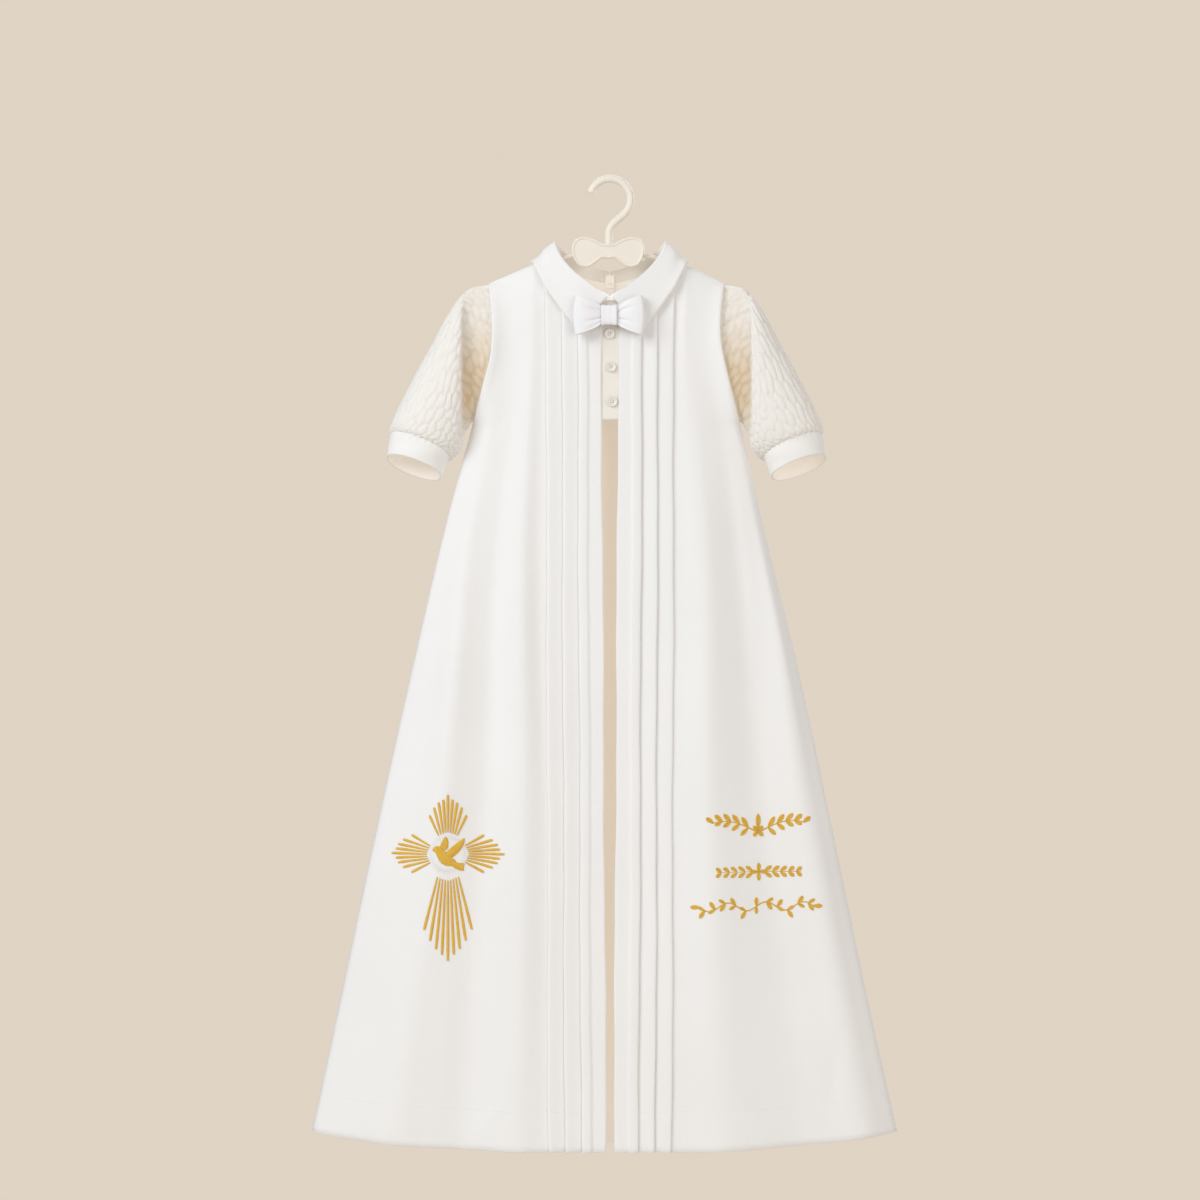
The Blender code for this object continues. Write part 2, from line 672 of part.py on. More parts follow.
def ring_normals(ring):
    """Normals of one flat ring in its own plane, pointing away from its middle."""
    tangent = np.roll(ring, -1, 0) - np.roll(ring, 1, 0)
    spoke = ring - ring.mean(axis=0)
    axis = np.cross(spoke, tangent).sum(axis=0)
    normal = np.cross(tangent, axis)
    normal /= np.linalg.norm(normal, axis=1, keepdims=True)
    return normal if np.sum(normal * spoke) > 0.0 else -normal


def smock_relief(around, rows):
    """Height of the sleeve's face over its plain wall: staggered leaves, with gathers at both ends."""
    column = np.arange(around)[:, None]
    row = np.arange(rows)[None, :]
    leaf = SMOCK_RELIEF * ((column + row) % 2)
    gather = GATHER_RELIEF * (column % 2) * np.ones((1, rows))
    gathered = (row <= HEAD_GATHER_ROWS) | (row >= rows - 1 - CUFF_GATHER_ROWS)
    relief = np.where(gathered, gather, leaf)
    relief[:, :HEAD_PLAIN_ROWS] = 0.0
    relief[:, -1] *= CUFF_END_RELIEF
    return relief


def mirrored(grid, side):
    """The left sleeve's points, or their mirror image for the right one."""
    if side == "left":
        return grid
    other = grid.copy()
    other[..., 0] = 2.0 * SLEEVE_AXIS_X - other[..., 0]
    return other


def make_sleeves(cloth, band_cloth):
    """The smocked sleeves and their plain cuffs."""
    fine = sleeve_grid(SLEEVE_AROUND, SLEEVE_ROWS)
    fine_normal = outward_normals(fine)
    fine_normal[:, -1] = ring_normals(fine[:, -1])
    relief = smock_relief(SLEEVE_AROUND, SLEEVE_ROWS)[..., None]
    outer = fine + fine_normal * (SLEEVE_CLOTH / 2 + relief)
    inner = (fine - fine_normal * SLEEVE_CLOTH / 2)[::2, ::2]
    start = read_sections(SLEEVE, SLEEVE_COLUMNS, 1.0)
    end = dict(zip(SLEEVE_COLUMNS, CUFF_END))
    rings = []
    for share in CUFF_ROWS:
        row = {name: start[name] + (end[name] - start[name]) * share for name in SLEEVE_COLUMNS}
        rings.append(sleeve_section(row, CUFF_AROUND))
    cuff = np.transpose(np.array(rings), (1, 0, 2))
    cuff_normal = outward_normals(cuff)
    cuff_normal[:, 0] = ring_normals(cuff[:, 0])
    cuff_outer = cuff + cuff_normal * CUFF_CLOTH / 2
    cuff_inner = cuff - cuff_normal * CUFF_CLOTH / 2
    for side, _ in SIDES:
        tube_solid("sleeve_" + side, mirrored(outer, side), mirrored(inner, side), cloth, SOFT_EDGE_ANGLE)
        tube_solid("cuff_" + side, mirrored(cuff_outer, side), mirrored(cuff_inner, side), band_cloth)


def roll_point(angle):
    """Point of the collar's roll line on the right side, 0 degrees at the front, 180 at the back."""
    turn = math.radians(angle)
    front = angle <= 90.0
    end = ROLL_FRONT_Z if front else ROLL_BACK_Z
    depth = ROLL_FRONT_DEPTH if front else ROLL_BACK_DEPTH
    share = abs(angle - 90.0) / 90.0
    z = ROLL_TOP_Z + (end - ROLL_TOP_Z) * share
    out = max(ROLL_HALF_WIDTH * math.sin(turn), collar_end_gap(angle))
    return np.array([out, -depth * math.cos(turn), z])


def collar_end_gap(angle):
    """Half of the space between the two collar halves, at the front and at the back."""
    return COLLAR_FRONT_GAP if angle <= 90.0 else COLLAR_BACK_GAP


def seam_point(angle):
    """Point of the collar's lower edge, just over the neckline."""
    turn = math.radians(angle)
    face = "front" if angle <= 90.0 else "back"
    depth = FRONT_NECK_DEPTH if angle <= 90.0 else BACK_NECK_DEPTH
    out = max(NECK_HALF_WIDTH * math.sin(turn), collar_end_gap(angle))
    z = float(top_height(face, "right", min(out, NECK_HALF_WIDTH - 1e-6)))
    lift = COLLAR_SEAM_LIFT[0] + COLLAR_SEAM_LIFT[1] * math.sin(turn)
    return np.array([out, -depth * math.cos(turn), z + lift])


def body_normal(face, out, z):
    """Point of the body's surface at a place on one half, as if it faced +Y, and its normal there."""
    step = NORMAL_STEP
    z = min(z, float(top_height(face, "right", out)) - 2.0 * step)
    depth = float(body_depth(face, "right", out, z))
    across = (float(body_depth(face, "right", out + step, z)) - depth) / step
    up = (float(body_depth(face, "right", out, z + step)) - depth) / step
    normal = np.array([-across, 1.0, -up])
    return np.array([out, depth, z]), normal / np.linalg.norm(normal)


def kept_clear(point, angle, clearance):
    """The point, moved out along the body's normal where it lies too close to the body."""
    if angle == 90.0:
        front = kept_clear(point, 0.0, clearance)
        return front * np.array([1.0, 0.0, 1.0])
    face = "front" if angle < 90.0 else "back"
    sign = -1.0 if face == "front" else 1.0
    moved = point * np.array([1.0, sign, 1.0])
    for _ in range(CLEARING_STEPS):
        surface, normal = body_normal(face, moved[0], moved[2])
        distance = float(np.dot(moved - surface, normal))
        moved = moved + normal * max(clearance - distance, 0.0)
    return moved * np.array([1.0, sign, 1.0])


def fall_point(angle):
    """Point of the collar's outer edge, lying over the body."""
    out = float(read_table(COLLAR_EDGE, COLLAR_COLUMNS, angle, "out"))
    z = float(read_table(COLLAR_EDGE, COLLAR_COLUMNS, angle, "z"))
    face = "front" if angle <= 90.0 else "back"
    sign = -1.0 if face == "front" else 1.0
    surface, normal = body_normal(face, out, z)
    if angle == 90.0:
        normal[1] = 0.0
        surface[1] = 0.0
    lift = COLLAR_LIFT + COLLAR_SHOULDER_LIFT * math.sin(math.radians(angle)) ** 4
    lifted = surface + normal / np.linalg.norm(normal) * lift
    return lifted * np.array([1.0, sign, 1.0])


def collar_grid():
    """Middle surface of the right collar half: columns round the neck, rows over the roll."""
    grid = []
    for angle in np.linspace(0.0, 180.0, COLLAR_STEPS):
        seam = seam_point(angle)
        roll = roll_point(angle)
        fall = fall_point(angle)
        out = fall - roll
        out[2] = 0.0
        out /= np.linalg.norm(out)
        up = np.array([0.0, 0.0, 1.0])
        inner_top = roll - up * ROLL_DROP
        crown = roll + out * ROLL_CROWN
        outer_top = roll + out * ROLL_WIDTH - up * ROLL_DROP
        column = [seam, (seam + inner_top) / 2, inner_top, crown, outer_top]
        for share in COLLAR_FALL_SHARES:
            place = outer_top + (fall - outer_top) * share + out * COLLAR_ROUND_OUT + up * COLLAR_ROUND_UP
            column.append(kept_clear(place, angle, COLLAR_LIFT))
        grid.append(column + [fall])
    return np.array(grid)


def make_collar(cloth):
    """The two halves of the collar, which meet at the centre front and the centre back."""
    grid = collar_grid()
    normal = surface_normals(grid)
    for side, sign in SIDES:
        turned = grid * np.array([sign, 1.0, 1.0])
        facing = normal * np.array([sign, 1.0, 1.0])
        panel_solid("collar_" + side, turned, facing, COLLAR_CLOTH, cloth, sharp_angle=SOFT_EDGE_ANGLE)


def strip_grid(face, half_width, top_z, bottom_z, back, across, down):
    """A strip at the centre of the gown, made from the body's points and moved inwards."""
    sign = -1.0 if face == "front" else 1.0
    grid = []
    for x in np.linspace(-half_width, half_width, across):
        column = []
        for z in np.linspace(top_z, bottom_z, down):
            depth = float(body_depth(face, "right", abs(x), z)) - back
            column.append((x, sign * depth, z))
        grid.append(column)
    return np.array(grid)


def placket_back():
    """Distance of the placket's middle behind the line of the front panels."""
    return LAYER_PITCH + CLOTH / 2 + SEAM_GAP + PLACKET_CLOTH / 2


def make_button(name, x, z, finish):
    """One turned button, its back just in front of the placket."""
    sides = BUTTON_SIDES
    profile = [(radius * BUTTON_RADIUS, height * BUTTON_THICKNESS) for radius, height in BUTTON_PROFILE]
    depth = float(body_depth("front", "right", abs(x), z))
    below = float(body_depth("front", "right", abs(x), z - SLOPE_STEP))
    slope = (below - depth) / SLOPE_STEP
    back_y = placket_back() - depth - PLACKET_CLOTH / 2 - SEAM_GAP
    points = []
    for radius, height in profile:
        count = 1 if radius == 0.0 else sides
        for step in range(count):
            angle = 2.0 * math.pi * step / sides
            up = radius * math.sin(angle)
            points.append((x + radius * math.cos(angle), back_y - height + up * slope, z + up))
    faces = []
    starts = [0] + [1 + sides * step for step in range(len(profile) - 1)]
    for step in range(sides):
        following = (step + 1) % sides
        faces.append([0, starts[1] + step, starts[1] + following])
        for ring in range(1, len(profile) - 2):
            first, second = starts[ring], starts[ring + 1]
            faces.append([first + step, second + step, second + following, first + following])
        last = starts[len(profile) - 2]
        faces.append([last + step, starts[-1], last + following])
    add_solid(name, points, faces, finish)


def make_front_trim(cloth, pearl):
    """The placket behind the opening and its three buttons."""
    grid = strip_grid("front", PLACKET_HALF_WIDTH, PLACKET_TOP_Z, PLACKET_BOTTOM_Z, placket_back(), 7, 9)
    panel_solid("front_placket", grid, surface_normals(grid), PLACKET_CLOTH, cloth)
    for number, (x, z) in enumerate(BUTTONS, start=1):
        make_button("button_%d" % number, x, z, pearl)


def make_back_trim(cloth):
    """The narrow strip inside the centre back and the blank tab at its top."""
    back = CLOTH / 2 + SEAM_GAP + BACK_STRIP_CLOTH / 2
    top = BACK_NECK_Z - 2.0 * SEAM_GAP
    grid = strip_grid("back", BACK_STRIP_HALF_WIDTH, top, BACK_STRIP_BOTTOM_Z, back, 3, 7)
    panel_solid("back_placket", grid, surface_normals(grid), BACK_STRIP_CLOTH, cloth)
    back += SEAM_GAP + BACK_STRIP_CLOTH
    grid = strip_grid("back", NECK_TAB_HALF_WIDTH, top, top - NECK_TAB_HEIGHT, back, 3, 4)
    panel_solid("neck_tab", grid, surface_normals(grid), BACK_STRIP_CLOTH, cloth)


def wing_grid():
    """Middle surface of the bow's right wing: a loop of ribbon, pinched at the knot."""
    reaches = [row[0] for row in WING]
    route = [(reach, 1.0) for reach in reaches[:-1]] + [(reaches[-1], 0.0)]
    route += [(reach, -1.0) for reach in reversed(reaches[:-1])]
    grid = []
    for reach, layer in route:
        half_depth = float(read_table(WING, WING_COLUMNS, reach, "half_depth"))
        half_height = float(read_table(WING, WING_COLUMNS, reach, "half_height"))
        pinch = 1.0 - smooth_step((reach - WING_INNER_REACH) / (WING_PLEATS_END * WING_REACH))
        column = []
        for share in np.linspace(-1.0, 1.0, WING_ROWS):
            bowed = 1.0 - WING_END_BOW * share * share * (reach / WING_REACH) ** 2
            pleat = WING_PLEAT_DEPTH * float(pinch) * math.cos(math.pi * WING_PLEATS * share)
            column.append((reach * bowed, layer * half_depth + pleat, share * half_height))
        grid.append(column)
    return np.array(grid)


def make_bow(satin):
    """The bow tie: two wings and the knot band round their pinched ends."""
    wing = wing_grid()
    normal = surface_normals(wing)
    for side, sign in SIDES:
        place = wing * np.array([sign, 1.0, 1.0]) + np.array([BOW_X, BOW_Y, BOW_Z])
        panel_solid("bow_wing_" + side, place, normal * np.array([sign, 1.0, 1.0]), RIBBON, satin)
    grid = []
    for step in range(KNOT_AROUND):
        angle = 2.0 * math.pi * step / KNOT_AROUND
        across = math.copysign(abs(math.cos(angle)) ** KNOT_ROUNDNESS, math.cos(angle))
        up = math.copysign(abs(math.sin(angle)) ** KNOT_ROUNDNESS, math.sin(angle))
        column = []
        for share in KNOT_ACROSS:
            waist = 1.0 - KNOT_WAIST * (1.0 - share * share)
            column.append((BOW_X + KNOT_HALF[0] * share,
                           BOW_Y + KNOT_HALF[1] * waist * across,
                           BOW_Z + KNOT_HALF[2] * waist * up))
        grid.append(column)
    grid = np.array(grid)
    outward = outward_normals(grid)
    tube_solid("bow_knot", grid, grid - outward * KNOT_CLOTH, satin)


def hook_route():
    """Centre line of the hook, from its tip over the top and down the stem."""
    centre = np.array([0.0, -(HOOK_RADIUS - HOOK_ROD)])
    route = []
    for angle in np.radians(np.linspace(HOOK_TIP_ANGLE, HOOK_TURN_ANGLE, HOOK_STEPS)):
        route.append(centre + HOOK_RADIUS * np.array([math.cos(angle), math.sin(angle)]))
    start = route[-1]
    heading = np.array([-math.sqrt(0.5), -math.sqrt(0.5)])
    end = np.array([STEM_X, STEM_TOP_Z])
    controls = (start, start + heading * BEND_PULL, end + np.array([0.0, BEND_PULL]), end)
    for share in np.linspace(0.0, 1.0, BEND_STEPS)[1:]:
        weights = ((1 - share) ** 3, 3 * share * (1 - share) ** 2, 3 * share ** 2 * (1 - share), share ** 3)
        route.append(sum(weight * point for weight, point in zip(weights, controls)))
    route.append(np.array([STEM_X, ARM_ROUTE[0][1]]))
    return [Vector((point[0], 0.0, point[1])) for point in route]


def arm_route():
    """Centre line of the arms, from the left end to the right one."""
    lines = {}
    for side, sign in SIDES:
        below = CLOTH / 2 + 2.0 * SEAM_GAP + ARM_ROD
        tip = float(edge_distance(side, SHOULDER_TIP_Z))
        slope = math.atan2(NECK_POINT_Z - SHOULDER_TIP_Z, tip - NECK_HALF_WIDTH)
        line = [(sign * out, z) for out, z in ARM_ROUTE]
        for out, dip in ((NECK_HALF_WIDTH, ARM_NECK_DIP), (ARM_SEAT, 0.0), (tip * ARM_END_SHARE, 0.0)):
            z = float(top_height("front", side, out)) - below / math.cos(slope) - dip
            line.append((sign * out, z))
        lines[side] = line
    points = lines["left"][:0:-1] + lines["right"]
    return [Vector((x, 0.0, z)) for x, z in points]


def rod_object(name, route, radius, sides):
    """A round rod along a route in the plane of the hanger."""
    points = []
    for place, point in enumerate(route):
        before = route[max(place - 1, 0)]
        after = route[min(place + 1, len(route) - 1)]
        heading = (after - before).normalized()
        square = Vector((-heading.z, 0.0, heading.x))
        for step in range(sides):
            angle = 2.0 * math.pi * step / sides
            points.append(point + square * radius * math.cos(angle)
                          + Vector((0.0, radius * math.sin(angle), 0.0)))
    faces = []
    for place in range(len(route) - 1):
        for step in range(sides):
            following = (step + 1) % sides
            faces.append([place * sides + step, (place + 1) * sides + step,
                          (place + 1) * sides + following, place * sides + following])
    faces.append(list(range(sides)))
    faces.append([(len(route) - 1) * sides + step for step in range(sides)])
    return add_solid(name, points, faces, None)


def make_hanger(plastic):
    """The hook and arms in one piece, and the bow-shaped plate in front of where they join."""
    hook = rod_object("hanger_frame", hook_route(), HOOK_ROD, HOOK_SIDES)
    arms = rod_object("arms", arm_route(), ARM_ROD, ARM_SIDES)
    join = hook.modifiers.new("join", "BOOLEAN")
    join.operation = "UNION"
    join.solver = "EXACT"
    join.object = arms
    arms.hide_render = True
    arms.display_type = "WIRE"
    hook.data.materials.clear()
    hook.data.materials.append(plastic)
    make_ornament(plastic)


def ornament_outline():
    """Outline of the bow-shaped plate, all the way round."""
    right = [np.array(point) for point in ORNAMENT_LOBE]
    left = [np.array((-point[0], point[1])) for point in ORNAMENT_LOBE[-2:0:-1]]
    corners = right + left
    count = len(corners)
    smooth = []
    for place in range(count):
        before, start, end, after = (corners[(place + step) % count] for step in (-1, 0, 1, 2))
        for part in (0.0, 0.5):
            slope_start = (end - before) / 2
            slope_end = (after - start) / 2
            smooth.append(start * (1 + 2 * part) * (1 - part) ** 2 + slope_start * part * (1 - part) ** 2
                          + end * (3 - 2 * part) * part ** 2 - slope_end * part ** 2 * (1 - part))
    return np.array(smooth)


def inset_outline(outline, distance):
    """The outline moved inwards."""
    step = np.roll(outline, -1, 0) - np.roll(outline, 1, 0)
    step /= np.linalg.norm(step, axis=1, keepdims=True)
    square = np.stack([step[:, 1], -step[:, 0]], axis=1)
    return outline + square * distance


def make_ornament(plastic):
    """The plate: a flat back, a rolled rim and a shallow sunk front."""
    outline = ornament_outline()
    points = []
    for inset, height in ORNAMENT_RINGS:
        front = ORNAMENT_BACK_Y - height * ORNAMENT_THICKNESS
        for out, up in inset_outline(outline, inset * ORNAMENT_RIM):
            points.append((ORNAMENT_X + out, front, ORNAMENT_Z + up))
    count = len(outline)
    faces = []
    for ring in range(len(ORNAMENT_RINGS) - 1):
        for step in range(count):
            following = (step + 1) % count
            faces.append([ring * count + step, (ring + 1) * count + step,
                          (ring + 1) * count + following, ring * count + following])
    faces.append(list(range(count)))
    faces.append([(len(ORNAMENT_RINGS) - 1) * count + step for step in range(count)])
    add_solid("hanger_bow", points, faces, plastic)


def main():
    """Builds the whole gown and its hanger."""
    for item in list(bpy.data.objects):
        bpy.data.objects.remove(item, do_unlink=True)
    white = material("white_cotton", (0.86, 0.85, 0.83), 0.85)
    cream = material("cream_smocking", (0.84, 0.79, 0.70), 0.88)
    ivory = material("ivory_cotton", (0.85, 0.81, 0.74), 0.85)
    band = material("cuff_cotton", (0.87, 0.86, 0.84), 0.82)
    satin = material("white_satin", (0.88, 0.88, 0.89), 0.38)
    pearl = material("pearl_button", (0.84, 0.81, 0.75), 0.25)
    plastic = material("ivory_plastic", (0.83, 0.79, 0.70), 0.35)
    make_body(white)
    make_sleeves(cream, band)
    make_collar(white)
    make_front_trim(ivory, pearl)
    make_back_trim(ivory)
    make_bow(satin)
    make_hanger(plastic)


main()
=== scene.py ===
import json
import math

import bpy
import numpy as np
from mathutils import Matrix, Vector


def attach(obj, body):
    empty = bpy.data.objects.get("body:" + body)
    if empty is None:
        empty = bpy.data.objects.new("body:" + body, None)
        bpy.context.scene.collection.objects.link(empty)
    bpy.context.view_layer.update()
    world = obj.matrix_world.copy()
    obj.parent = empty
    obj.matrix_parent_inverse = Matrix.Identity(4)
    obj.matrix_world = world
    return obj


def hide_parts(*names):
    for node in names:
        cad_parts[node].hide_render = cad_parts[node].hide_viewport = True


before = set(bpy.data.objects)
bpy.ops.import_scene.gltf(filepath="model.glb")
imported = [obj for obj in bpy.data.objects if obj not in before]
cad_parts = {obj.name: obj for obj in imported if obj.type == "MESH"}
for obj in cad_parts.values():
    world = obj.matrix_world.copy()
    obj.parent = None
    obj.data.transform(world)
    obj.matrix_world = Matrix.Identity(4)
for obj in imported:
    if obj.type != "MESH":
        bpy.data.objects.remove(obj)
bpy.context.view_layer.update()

# The gown's cut, as in its solids
CLOTH = 0.0011
SLEEVE_CLOTH = 0.0012
SEAM_GAP = 0.0003
LAYER_GAP = 0.0004
SHOULDER_TIP_Z = -0.1022
UNDERARM_Z = -0.2440
NECK_HALF_WIDTH = 0.0625
NECK_POINT_Z = -0.0765
FRONT_NECK_Z = -0.1220
BACK_NECK_Z = -0.1010
FRONT_NECK_DEPTH = 0.0240
TUCK_BULK_END = 0.0780
TUCK_TOP_DROP = 0.0060
TUCK_END_DROP = 0.0025
BACK_NECK_DEPTH = 0.0170
HEM_CENTRE_Z = -0.9716
HEM_RISE = 0.0150
SHOULDER_ROUND = 0.060
ARMHOLE_FRONT = 0.0170
ARMHOLE_BACK = 0.0140
ARMHOLE_FULLNESS = 0.55
ARMHOLE_REACH = 10
NECKLINE_CURVE = 1.1
HEM_CURVE = 2.6
SECTION_CURVE = (2.2, 0.6)
EDGE_COLUMNS = ("z", "left", "right")
EDGE = (
    (-0.1022, 0.1220, 0.1150),
    (-0.1310, 0.1190, 0.1115),
    (-0.1570, 0.1183, 0.1110),
    (-0.1790, 0.1206, 0.1145),
    (-0.2030, 0.1270, 0.1203),
    (-0.2440, 0.1380, 0.1310),
    (-0.3410, 0.1642, 0.1532),
    (-0.4820, 0.1974, 0.1875),
    (-0.6630, 0.2377, 0.2262),
    (-0.8440, 0.2762, 0.2640),
    (-0.9560, 0.3002, 0.2893),
)
DEPTH_COLUMNS = ("z", "front", "back")
DEPTH = (
    (-0.0760, 0.0220, 0.0195),
    (-0.2440, 0.0235, 0.0190),
    (-0.4500, 0.0300, 0.0205),
    (-0.7000, 0.0380, 0.0240),
    (-0.9720, 0.0450, 0.0280),
)
TUCKS = (
    (0.0322, 0.0280),
    (0.0480, 0.0446),
    (0.0640, 0.0612),
)
OPENING_EDGE = (0.0089, 0.0038)
TUCK_UNDERLAP = 0.0080
LAYER_PITCH = CLOTH + LAYER_GAP
PLAIN_PART_RISE = 0.26
ROWS = (0.0, 0.0008, 0.003, 0.008, 0.02, 0.045, 0.075, 0.105, 0.135, 0.150, 0.161, 0.166,
        0.22, 0.30, 0.42, 0.56, 0.70, 0.85, 1.0)
UNDERARM_ROW = 11
SLEEVE_AXIS_X = -0.0035
SLEEVE_COLUMNS = ("top_out", "top_z", "bottom_out", "bottom_z", "depth", "tilt")
SLEEVE = (
    (0.1145, -0.1060, 0.1300, -0.2400, 0.0000, 0.0),
    (0.1260, -0.1040, 0.1350, -0.2412, 0.0000, 0.0),
    (0.1376, -0.1074, 0.1397, -0.2467, 0.0140, 0.0),
    (0.1487, -0.1185, 0.1427, -0.2507, 0.0225, 2.0),
    (0.1608, -0.1367, 0.1441, -0.2537, 0.0265, 5.0),
    (0.1740, -0.1619, 0.1457, -0.2588, 0.0285, 8.0),
    (0.1871, -0.1851, 0.1467, -0.2648, 0.0295, 11.0),
    (0.1992, -0.2083, 0.1487, -0.2699, 0.0300, 13.0),
    (0.2093, -0.2285, 0.1518, -0.2739, 0.0295, 15.0),
    (0.2173, -0.2477, 0.1560, -0.2772, 0.0275, 17.0),
    (0.2164, -0.2541, 0.1591, -0.2779, 0.0245, 18.0),
)
SLEEVE_HEAD = (-0.0035, 0.0022)
SLEEVE_HEAD_EASE = 0.0012
SLEEVE_HEAD_RIM_ANGLE = 25.0
SLEEVE_FULLNESS = 0.85
CUFF_END = (0.2211, -0.2773, 0.1672, -0.2971, 0.0235, 18.0)
COLLAR_STEPS = 23
ROLL_HALF_WIDTH = 0.0558
ROLL_FRONT_Z = -0.1160
ROLL_TOP_Z = -0.0625
ROLL_BACK_Z = -0.0890
ROLL_FRONT_DEPTH = 0.0255
ROLL_BACK_DEPTH = 0.0180
ROLL_DROP = 0.0019
ROLL_WIDTH = 0.0026
COLLAR_LIFT = 0.0030
COLLAR_SHOULDER_LIFT = 0.0022
COLLAR_COLUMNS = ("angle", "out", "z")
COLLAR_EDGE = (
    (0.0, 0.0310, -0.1505),
    (22.0, 0.0405, -0.1395),
    (45.0, 0.0505, -0.1270),
    (67.0, 0.0640, -0.1070),
    (90.0, 0.0775, -0.0795),
    (112.0, 0.0700, -0.0925),
    (135.0, 0.0525, -0.1100),
    (158.0, 0.0290, -0.1200),
    (180.0, 0.0060, -0.1225),
)
COLLAR_ROUND_OUT = 0.0010
COLLAR_ROUND_UP = 0.0005
COLLAR_SEAM_LIFT = (0.0012, 0.0009)
NORMAL_STEP = 0.0004
CLEARING_STEPS = 6
COLLAR_FRONT_GAP = 0.0040
COLLAR_BACK_GAP = 0.0006
PLACKET_HALF_WIDTH = 0.0185
PLACKET_TOP_Z = -0.1215
PLACKET_BOTTOM_Z = -0.2402
PLACKET_CLOTH = 0.0014
BUTTON_RADIUS = 0.0054
BUTTON_THICKNESS = 0.0021
BUTTONS = ((-0.0005, -0.1542), (0.0010, -0.1872), (0.0023, -0.2222))
SLOPE_STEP = 0.01
BACK_STRIP_HALF_WIDTH = 0.0046
BACK_STRIP_BOTTOM_Z = -0.150
BACK_STRIP_CLOTH = 0.0010
NECK_TAB_HALF_WIDTH = 0.0042
NECK_TAB_HEIGHT = 0.0115
BOW_X = -0.0010
BOW_Y = -0.0311
BOW_Z = -0.1362
WING_REACH = 0.0360
WING_INNER_REACH = 0.0058
KNOT_HALF = (0.0075, 0.0045, 0.0105)
WING_COLUMNS = ("reach", "half_depth", "half_height")
WING = (
    (0.0058, 0.00075, 0.0082),
    (0.0082, 0.00110, 0.0088),
    (0.0104, 0.00160, 0.0108),
    (0.0155, 0.00290, 0.0134),
    (0.0230, 0.00400, 0.0165),
    (0.0310, 0.00360, 0.0189),
    (0.0345, 0.00230, 0.0192),
    (0.0360, 0.00000, 0.0190),
)
KNOT_ROUNDNESS = 0.6
ARM_ROD = 0.0023
SIDES = (("left", -1.0), ("right", 1.0))


def smooth_step(value):
    """0 below 0, 1 above 1 and an S-shaped rise between."""
    value = np.clip(value, 0.0, 1.0)
    return value * value * (3.0 - 2.0 * value)


def read_table(table, names, at, column):
    """Reads one named column of a table at a value of its first column, on a smooth curve."""
    rows = sorted(table)
    key = np.array([row[0] for row in rows])
    data = np.array([row[names.index(column)] for row in rows])
    slope = np.gradient(data, key)
    at = np.clip(at, key[0], key[-1])
    place = np.clip(np.searchsorted(key, at) - 1, 0, len(key) - 2)
    span = key[place + 1] - key[place]
    part = (at - key[place]) / span
    start = data[place] * (1 + 2 * part) * (1 - part) ** 2 + slope[place] * span * part * (1 - part) ** 2
    end = data[place + 1] * (3 - 2 * part) * part ** 2 - slope[place + 1] * span * part ** 2 * (1 - part)
    return start + end


def read_sections(table, names, share):
    """Reads all columns of a table of evenly numbered sections at a share of the way along it."""
    numbered = [(float(number),) + row for number, row in enumerate(table)]
    columns = ("number",) + names
    number = share * (len(table) - 1)
    return {name: float(read_table(numbered, columns, number, name)) for name in names}


def along(grid, axis, closed=False):
    """Unit directions along one axis of a grid of points, halfway between the steps on each side."""
    step = np.roll(grid, -1, axis) - grid
    step /= np.maximum(np.linalg.norm(step, axis=2, keepdims=True), 1e-12)
    before = np.roll(step, 1, axis)
    if not closed:
        last = [slice(None)] * 3
        first = [slice(None)] * 3
        last[axis] = -1
        first[axis] = 0
        step[tuple(last)] = before[tuple(last)]
        before[tuple(first)] = step[tuple(first)]
    total = step + before
    return total / np.maximum(np.linalg.norm(total, axis=2, keepdims=True), 1e-12)


def surface_normals(grid, closed=False):
    """Unit normals of a grid of points, columns first."""
    normal = np.cross(along(grid, 0, closed), along(grid, 1))
    return normal / np.maximum(np.linalg.norm(normal, axis=2, keepdims=True), 1e-12)


def edge_distance(side, z):
    """Distance of the armhole edge or side seam from the centre at a height."""
    return read_table(EDGE, EDGE_COLUMNS, z, side)


def neck_angle(out):
    """Angle round the neck at a distance from the centre."""
    return np.arcsin(np.clip(out / NECK_HALF_WIDTH, 0.0, 1.0))


def top_height(face, side, out):
    """Height of a panel's top edge: the neckline, then the shoulder line."""
    centre = FRONT_NECK_Z if face == "front" else BACK_NECK_Z
    neckline = centre + (NECK_POINT_Z - centre) * (neck_angle(out) / (math.pi / 2)) ** NECKLINE_CURVE
    tip = edge_distance(side, SHOULDER_TIP_Z)
    down = np.clip((out - NECK_HALF_WIDTH) / (tip - NECK_HALF_WIDTH), 0.0, 1.0)
    shoulder = NECK_POINT_Z + (SHOULDER_TIP_Z - NECK_POINT_Z) * down
    return np.where(out < NECK_HALF_WIDTH, neckline, shoulder)


def armhole_depth(face, z):
    """How far the armhole's edge stands from the plane of the shoulder seam."""
    down = (SHOULDER_TIP_Z - z) / (SHOULDER_TIP_Z - UNDERARM_Z)
    reach = ARMHOLE_FRONT if face == "front" else ARMHOLE_BACK
    return reach * np.clip(np.sin(math.pi * np.clip(down, 0.0, 1.0)), 0.0, 1.0) ** ARMHOLE_FULLNESS


def tuck_bulk(out):
    """Least depth of a front panel, so that the layers of its tucks pass in front of the hanger's arm."""
    layers = 2.0 * LAYER_PITCH + CLOTH / 2 + SEAM_GAP + ARM_ROD
    start = TUCKS[-1][0] + CLOTH
    return layers * (1.0 - smooth_step((out - start) / (TUCK_BULK_END - start)))


